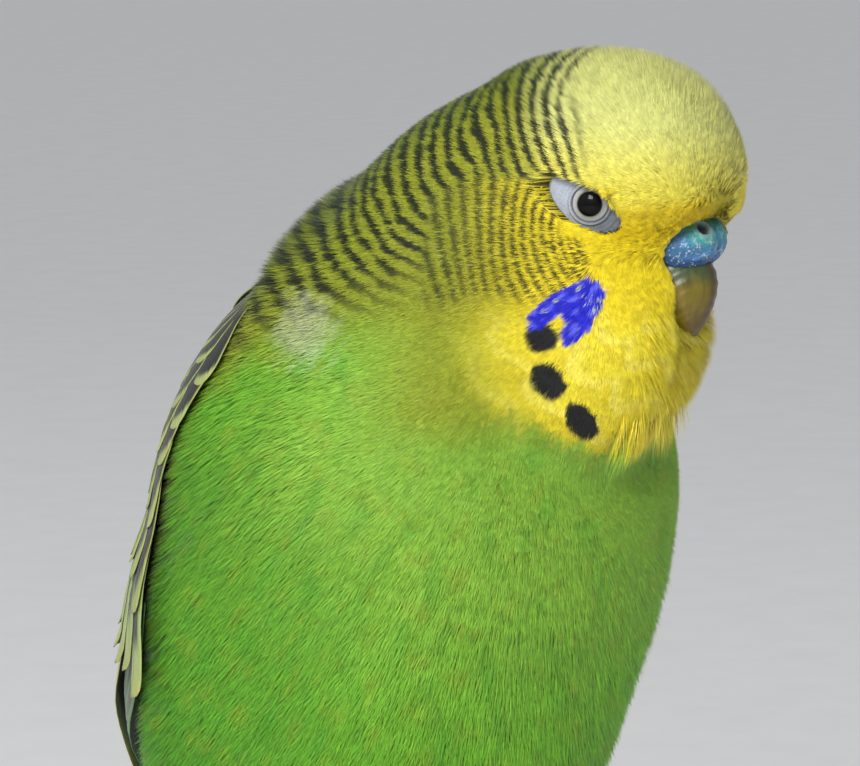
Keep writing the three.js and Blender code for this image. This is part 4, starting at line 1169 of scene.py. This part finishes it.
def build_perch():
    rows, sides = 200, 120
    x = np.linspace(-PERCH_LENGTH / 2, PERCH_LENGTH / 2, rows)
    turn = 2 * np.pi * np.arange(sides) / sides
    gx, gt = np.meshgrid(x, turn, indexing="ij")
    place = np.stack([gx * 0.35, np.cos(gt) * PERCH_RADIUS, np.sin(gt) * PERCH_RADIUS], -1)
    ridges = ripple(place, 3.2, 91) * 0.16 + ripple(place, 1.2, 92) * 0.07
    r = PERCH_RADIUS * (0.965 + 0.02 * np.cos(gx / 5.3)) + np.clip(ridges, -0.3, 0.12)
    from_knot = np.hypot((gx - KNOT_X) / 3.2, (gt - KNOT_TURN) / 0.45)
    r = r + 0.25 * np.sin(8 * from_knot) * np.exp(-from_knot**2)
    bark = np.stack([gx, PERCH_AT[1] + r * np.cos(gt), PERCH_AT[2] + r * np.sin(gt)], -1)
    first, last = PERCH_AT - X * PERCH_LENGTH / 2, PERCH_AT + X * PERCH_LENGTH / 2
    inward = np.linspace(0.004, 0.97, END_RINGS)[:, None, None]
    rings = np.concatenate([mix(bark[0], first, inward)[::-1], bark, mix(bark[-1], last, inward)])
    points, faces = closed_rings(rings, first, last)
    end = np.ones(len(points), bool)
    end[END_RINGS * sides:(END_RINGS + rows) * sides] = False
    r = np.hypot(points[:, 1] - PERCH_AT[1], points[:, 2] - PERCH_AT[2])
    brown = tint(srgb(122, 98, 74), srgb(84, 66, 50), fade(ripple(points * [0.3, 1, 1], 2.4, 93), -0.3, 0.7))
    brown = tint(brown, srgb(150, 140, 122), fade(ripple(points, 6, 94), 0.35, 0.9) * 0.5)
    wood = srgb(202, 172, 128) * (0.9 + 0.1 * np.sin(r * 9 + ripple(points, 4, 95)))[:, None]
    wood = tint(wood, srgb(96, 72, 50), fade(r, 5.7, 6.1))
    return make_mesh("perch_bark", points, faces, colours=np.where(end[:, None], wood, brown))


bark_shade = Shade("bark", Specular_IOR_Level=0.3)
finish_piece(build_perch(), bark_shade.grained(
    bark_shade.noise(1.0, 6, bark_shade.place(260, 900, 900), rough=0.65),
    (0.62, 1.3), (0.7, 0.95), (0.6, 0.0005)), "perch_bark", "perch")


# Stand
def lathe(name, profile, sides, y=0.0):
    profile = np.asarray(profile, float)
    t = 2 * np.pi * np.arange(sides) / sides
    p = np.stack([profile[:, 0][:, None] * np.cos(t), profile[:, 0][:, None] * np.sin(t) + y,
                  np.repeat(profile[:, 1][:, None], sides, 1)], -1)
    return make_mesh(name, p.reshape(-1, 3), grid_faces(len(profile), sides))


# Profiles: radius and height
BASE = [(0.01, 0), (30, 0), (55.6, 0), (56.6, 0.4), (57.5, 1.2), (58, 2.2), (58, 5.4), (57.7, 6.4), (57, 7.2),
        (56.2, 7.7), (55.2, 7.96), (54.2, 8), (30, 8), (0.01, 8)]
base = lathe("stand_base_wood", BASE, 160)
wood = Shade("varnished_wood", Specular_IOR_Level=0.5, Coat_Weight=0.5, Coat_Roughness=0.18)
rings = wood.add("TexWave", wave_type="BANDS", bands_direction="Y")
rings.inputs["Scale"].default_value = 0.9
rings.inputs["Distortion"].default_value = 6
rings.inputs["Detail"].default_value = 4
wood.link(wood.place(9, 80, 40), rings.inputs["Vector"])
pores = wood.noise(1.0, 5, wood.place(60, 1400, 900), rough=0.7)
tone = wood.ramp(rings.outputs["Fac"], (0.1, srgb(150, 112, 72)), (0.9, srgb(192, 154, 108)))
wood.colour(wood.times(tone, wood.range(pores, 0.35, 0.65, 0.8, 1.08)))
wood.rough(wood.range(pores, 0.35, 0.65, 0.45, 0.3))
wood.bump(pores, 0.2, 0.0002)
finish_piece(base, wood.material, "stand_wood", "stand_base")
rod_top = PERCH_AT[2] - PERCH_RADIUS + 0.2
ROD = [(0.01, 8.05), (6.6, 8.05), (7, 8.4), (7, 9.9), (6.6, 10.4), (5.4, 10.8), (3.9, 11.4), (3.25, 12), (3, 12.8),
       (3, 30), (3, rod_top), (0.01, rod_top)]
rod = lathe("stand_rod_steel", ROD, 64, PERCH_AT[1])
steel = Shade("brushed_steel", Metallic=1.0)
brushed = steel.noise(1.0, 4, steel.place(500, 500, 9000))
steel.colour(steel.ramp(brushed, (0.3, (0.46, 0.47, 0.49)), (0.7, (0.62, 0.63, 0.65))))
steel.rough(steel.vary(brushed, 0.25, 0.42))
finish_piece(rod, steel.material, "stand_steel", "stand_rod")

# The coat: rows of tufts, each a fan of tapering barbs, rooted in the skin
def surface_at(row, column):
    """Points on the skin's grid at fractional rows and columns."""
    i = np.clip(row.astype(int), 0, len(skin_v) - 2)
    j = np.floor(column).astype(int)
    a, b = (row - i)[:, None], (column - j)[:, None]
    j0, j1 = j % SKIN_AROUND, (j + 1) % SKIN_AROUND
    return mix(mix(skin_points[i, j0], skin_points[i, j1], b),
               mix(skin_points[i + 1, j0], skin_points[i + 1, j1], b), a)


def tuft_density(p):
    """Tufts on a square millimetre of skin."""
    r = from_beak(p)
    return mix(6.0, mix(4.4, 1.25, fade(r, 28, 60)), fade(r, 10, 24))


def tuft_length(p):
    r = from_beak(p)
    return mix(1.9, mix(2.7, 6.5, fade(r, 30, 70)), fade(r, 8, 22))


def tuft_width(p):
    r = from_beak(p)
    return mix(0.55, mix(0.8, 1.5, fade(r, 34, 70)), fade(r, 8, 22))


def barb_width(p):
    return mix(0.11, 0.2, fade(from_beak(p), 15, 70))


def scatter_roots():
    """Rows and columns on the skin's grid, in staggered rows as far apart as the density asks."""
    size_along = np.linalg.norm(np.diff(skin_points, axis=0), axis=-1)
    size_along = np.vstack([size_along, size_along[-1:]])
    size_around = np.linalg.norm(np.roll(skin_points, -1, 1) - skin_points, axis=-1)
    density = tuft_density(skin_points)
    rows, columns = [], []
    row, k = 0.3, 0
    while row < len(skin_v) - 1.5:
        i = int(row)
        weights = size_around[i] + 1e-6
        apart = math.sqrt(0.87 / np.average(density[i], weights=weights))
        step = apart / max(np.average(size_along[i], weights=weights), 1e-6)
        total = np.concatenate([[0], np.cumsum(density[i] * size_around[i] * size_along[i] * step)])
        n = int(total[-1])
        if n >= 3:
            want = (np.arange(n) + 0.5 * (k % 2) + rng.uniform(-0.3, 0.3, n)) % n * total[-1] / n
            columns.append(np.interp(want, total, np.arange(SKIN_AROUND + 1)))
            rows.append(row + rng.uniform(-0.35, 0.35, n) * step)
        row += step
        k += 1
    return np.clip(np.concatenate(rows), 0, len(skin_v) - 1.001), np.concatenate(columns)


def lie(p, n):
    """The way that the coat lies at points with outward normals n: back from the brow and the beak, then down."""
    f, l, u = in_head(p)
    x, d, s = in_body(p)
    r = from_beak(p)[:, None]
    brow = head(13, 0.75 * l, 1.1 + 1.2 * ripple(p, 7, 31))
    away = mix(unit(p - BEAK_ROOT), unit(p - brow), fade(u, -3, 1)[:, None])
    fringe = fade(f, 1.5, 6) * fade(u, -4, -8.5) * fade(np.abs(l), 3, 6) * fade(u, -24, -16)
    away = unit(mix(away, 0.7 * F - 0.7 * Z, 0.8 * fringe[:, None]))
    down = -K + 0.25 * np.sign(x)[:, None] * X * fade(np.abs(x), 4, 20)[:, None]
    w = mix(1.0, 0.3, fade(r, 20, 75))
    way = unit(away * w + unit(down) * (1 - w))
    bib = fade(u, -14, -22) * fade(f, -8, 2) * fade(r[:, 0], 40, 26)
    way = mix(way, -Z, 0.5 * bib[:, None])
    return unit(way - n * (way * n).sum(-1, keepdims=True))


def blocked(p):
    """Where no barb may end: over the bare skin of the eyes, the cere and the side of the beak."""
    f, l, u = in_head(p)
    eye = (eye_place(p) < 0.95) & (np.abs(l) > 8)
    cere = np.linalg.norm((np.stack([f, l, u], -1) - [11, 0, -5.6]) / [8, 7.6, 4.7], axis=-1) < 1
    beak = (np.abs(l) < 3.7) & (f > 9.6 + 0.3 * (-12 - u)) & (u < -6) & (u > -17)
    return eye | cere | beak


BARBS = 9
FAN = np.linspace(-1, 1, BARBS)
PATCH_HALF = 0.0015  # half of a tuft's patch in the UV map
MOST = 7000  # tufts in a piece
BEARD_LOCKS = 60
coat_material = plumage_material("coat_barbs", 1400)


def build_coat(name, rows, columns, slot, length_of, width_of, barb_width_of, more_lift=0.0):
    """One piece of tufts. Each barb has two root points, two on the way and a tip."""
    root = surface_at(rows, columns)
    n = outward(root)
    t = lie(root, n)
    side = unit(np.cross(n, t))
    count = len(root)
    g = np.random.default_rng(len(name) + count)
    length = length_of(root) * g.uniform(0.85, 1.15, count)
    wide = width_of(root) * g.uniform(0.85, 1.2, count)
    depth = coat_depth(root)
    calm = mix(0.55, 1.0, fade(from_beak(root), 30, 60))
    yaw = g.normal(0, 0.10, count) * calm
    t, side = (t * np.cos(yaw)[:, None] + side * np.sin(yaw)[:, None],
               side * np.cos(yaw)[:, None] - t * np.sin(yaw)[:, None])
    f, l, u = in_head(root)
    x, d, s = in_body(root)
    # Fuller plumage: crown, hindneck, beside the wing's edge, chin and corners of the beak
    lift = 1.1 * fade(u, 6, 14) * fade(f, -16, -8) + 1.6 * fade(s, 30, 36) * fade(s, 49, 42) * fade(d, 15, 20)
    beside = np.degrees(np.arctan2(np.abs(x), d)) - leading(s)
    lift = lift + 1.1 * fade(beside, -16, -6) * fade(beside, 16, 4) * fade(s, 22, 12) * fade(s, -70, -40)
    chin = fade(f, 5, 8) * fade(np.abs(l), 8.5, 6) * fade(u, -10, -14) * fade(u, -27, -21)
    gape = fade(f, 2.5, 5) * fade(np.abs(l), 3, 4.2) * fade(np.abs(l), 8.5, 6.5)
    gape = gape * fade(u, -7, -9) * fade(u, -20, -16)
    lift = lift + 1.5 * chin + 0.4 * gape + more_lift
    length = length * (1 + 0.9 * chin + 0.7 * gape)
    for _ in range(5):
        length = np.where(blocked(root + t * length[:, None] * 0.95), length * 0.74, length)
    c = FAN[None, :] + g.uniform(-0.1, 0.1, (count, BARBS))
    mid_x = length[:, None] * (0.52 + 0.1 * (1 - np.abs(c)))
    tip_x = length[:, None] * (1 - 0.22 * c * c) * g.uniform(0.92, 1.08, (count, BARBS))

    def put(xx, yy, level):
        p = root[:, None] + t[:, None] * xx[..., None] + side[:, None] * yy[..., None]
        for _ in range(2):
            away = (level - plumage(p))[..., None]
            p = p + n[:, None] * np.clip(away, -3, 4)
        return p

    base = root[:, None] + t[:, None] * (length[:, None] * 0.12 * (1 - np.abs(c)))[..., None] + side[:, None] * (
        wide[:, None] * 0.18 * c)[..., None] - n[:, None] * 0.15
    jitter = g.normal(0, 0.10, (count, BARBS)) * (depth * calm)[:, None]
    mid = put(mid_x, wide[:, None] * 0.62 * c, -0.42 * depth[:, None] + 0.6 * jitter)
    tip = put(tip_x, wide[:, None] * c, lift[:, None] + jitter - 0.05 * depth[:, None] + 0.10 * (1 - c * c))
    w = side[:, None] * barb_width_of(root)[:, None, None] * g.uniform(0.8, 1.25, (count, BARBS))[..., None]
    points = np.stack([base - w * 0.4, base + w * 0.4, mid - w * 0.5, mid + w * 0.5, tip], 2).reshape(-1, 3)
    start = (np.arange(count * BARBS) * 5)[:, None]
    faces = (start[:, :, None] + np.array([[0, 3, 1], [0, 2, 3], [2, 4, 3]])[None]).reshape(-1, 3)
    spot = tip - t[:, None] * 0.25
    tone = g.uniform(0.86, 1.12, (count, BARBS, 1)) * g.uniform(0.93, 1.07, (count, 1, 1))
    full = np.repeat((markings(spot) * tone)[:, :, None], 5, 2)
    # Painted shade: each barb darker at its root and a little darker on the way, for the shade in the depth of the
    # coat
    full[:, :, :2] *= 0.55
    full[:, :, 2:4] *= 0.92
    wobble = unit(n + 0.16 * t * g.normal(0, 1, (count, 1)) + 0.2 * side * g.normal(0, 1, (count, 1)))
    normals = unit(wobble[:, None] + 0.25 * side[:, None] * c[..., None] - 0.12 * t[:, None])
    normals = np.repeat(normals[:, :, None], 5, 2).reshape(-1, 3)
    v0 = np.interp(rows, np.arange(len(skin_v)), skin_v)
    u0 = columns / SKIN_AROUND * UV_SPAN + UV_MARGIN
    along = np.stack([0 * c, 0 * c, mid_x / length[:, None], mid_x / length[:, None], tip_x / length[:, None]], 2)
    across = np.repeat(c[:, :, None], 5, 2)
    uv = np.stack([u0[:, None, None] + PATCH_HALF * across, v0[:, None, None] + PATCH_HALF * (2 * along - 1)], -1)
    obj = make_mesh(name, points, faces, colours=full.reshape(-1, 3), uv=uv.reshape(-1, 2), normals=normals)
    finish_piece(obj, coat_material, slot)


rows, columns = scatter_roots()
root_points = surface_at(rows, columns)
f, l, u = in_head(root_points)
x, d, s = in_body(root_points)
around = np.degrees(np.arctan2(np.abs(x), d))
covered = (around < leading(s) - 17) & (around > trailing(s) + 6) & (s < 20) & (d > -4)
covered |= (blocked(root_points) & (f < 30)) | ((eye_place(root_points) < 1.0) & (np.abs(l) > 8))
rows, columns, root_points = rows[~covered], columns[~covered], root_points[~covered]
reach = from_beak(root_points)
order = np.argsort(reach, kind="stable")
for k, part in enumerate(np.array_split(order, math.ceil(len(order) / MOST))):
    far = reach[part].mean()
    slot = "plumage_yellow" if far < 26 else "plumage_barred" if far < 45 else "plumage_green"
    build_coat("coat_%02d" % (k + 1), rows[part], columns[part], slot, tuft_length, tuft_width, barb_width)

# Beard: long locks that hang from under the beak over the front of the bib
f, l, u = in_head(root_points)
beard = np.flatnonzero((f > 6.5) & (np.abs(l) < 8) & (u < -16.5) & (u > -27))
beard = np.random.default_rng(5).choice(beard, min(BEARD_LOCKS, len(beard)), replace=False)
build_coat("beard", rows[beard], columns[beard], "plumage_yellow",
           lambda p: np.full(len(p), 8.0), lambda p: np.full(len(p), 0.55), lambda p: np.full(len(p), 0.2), 0.9)
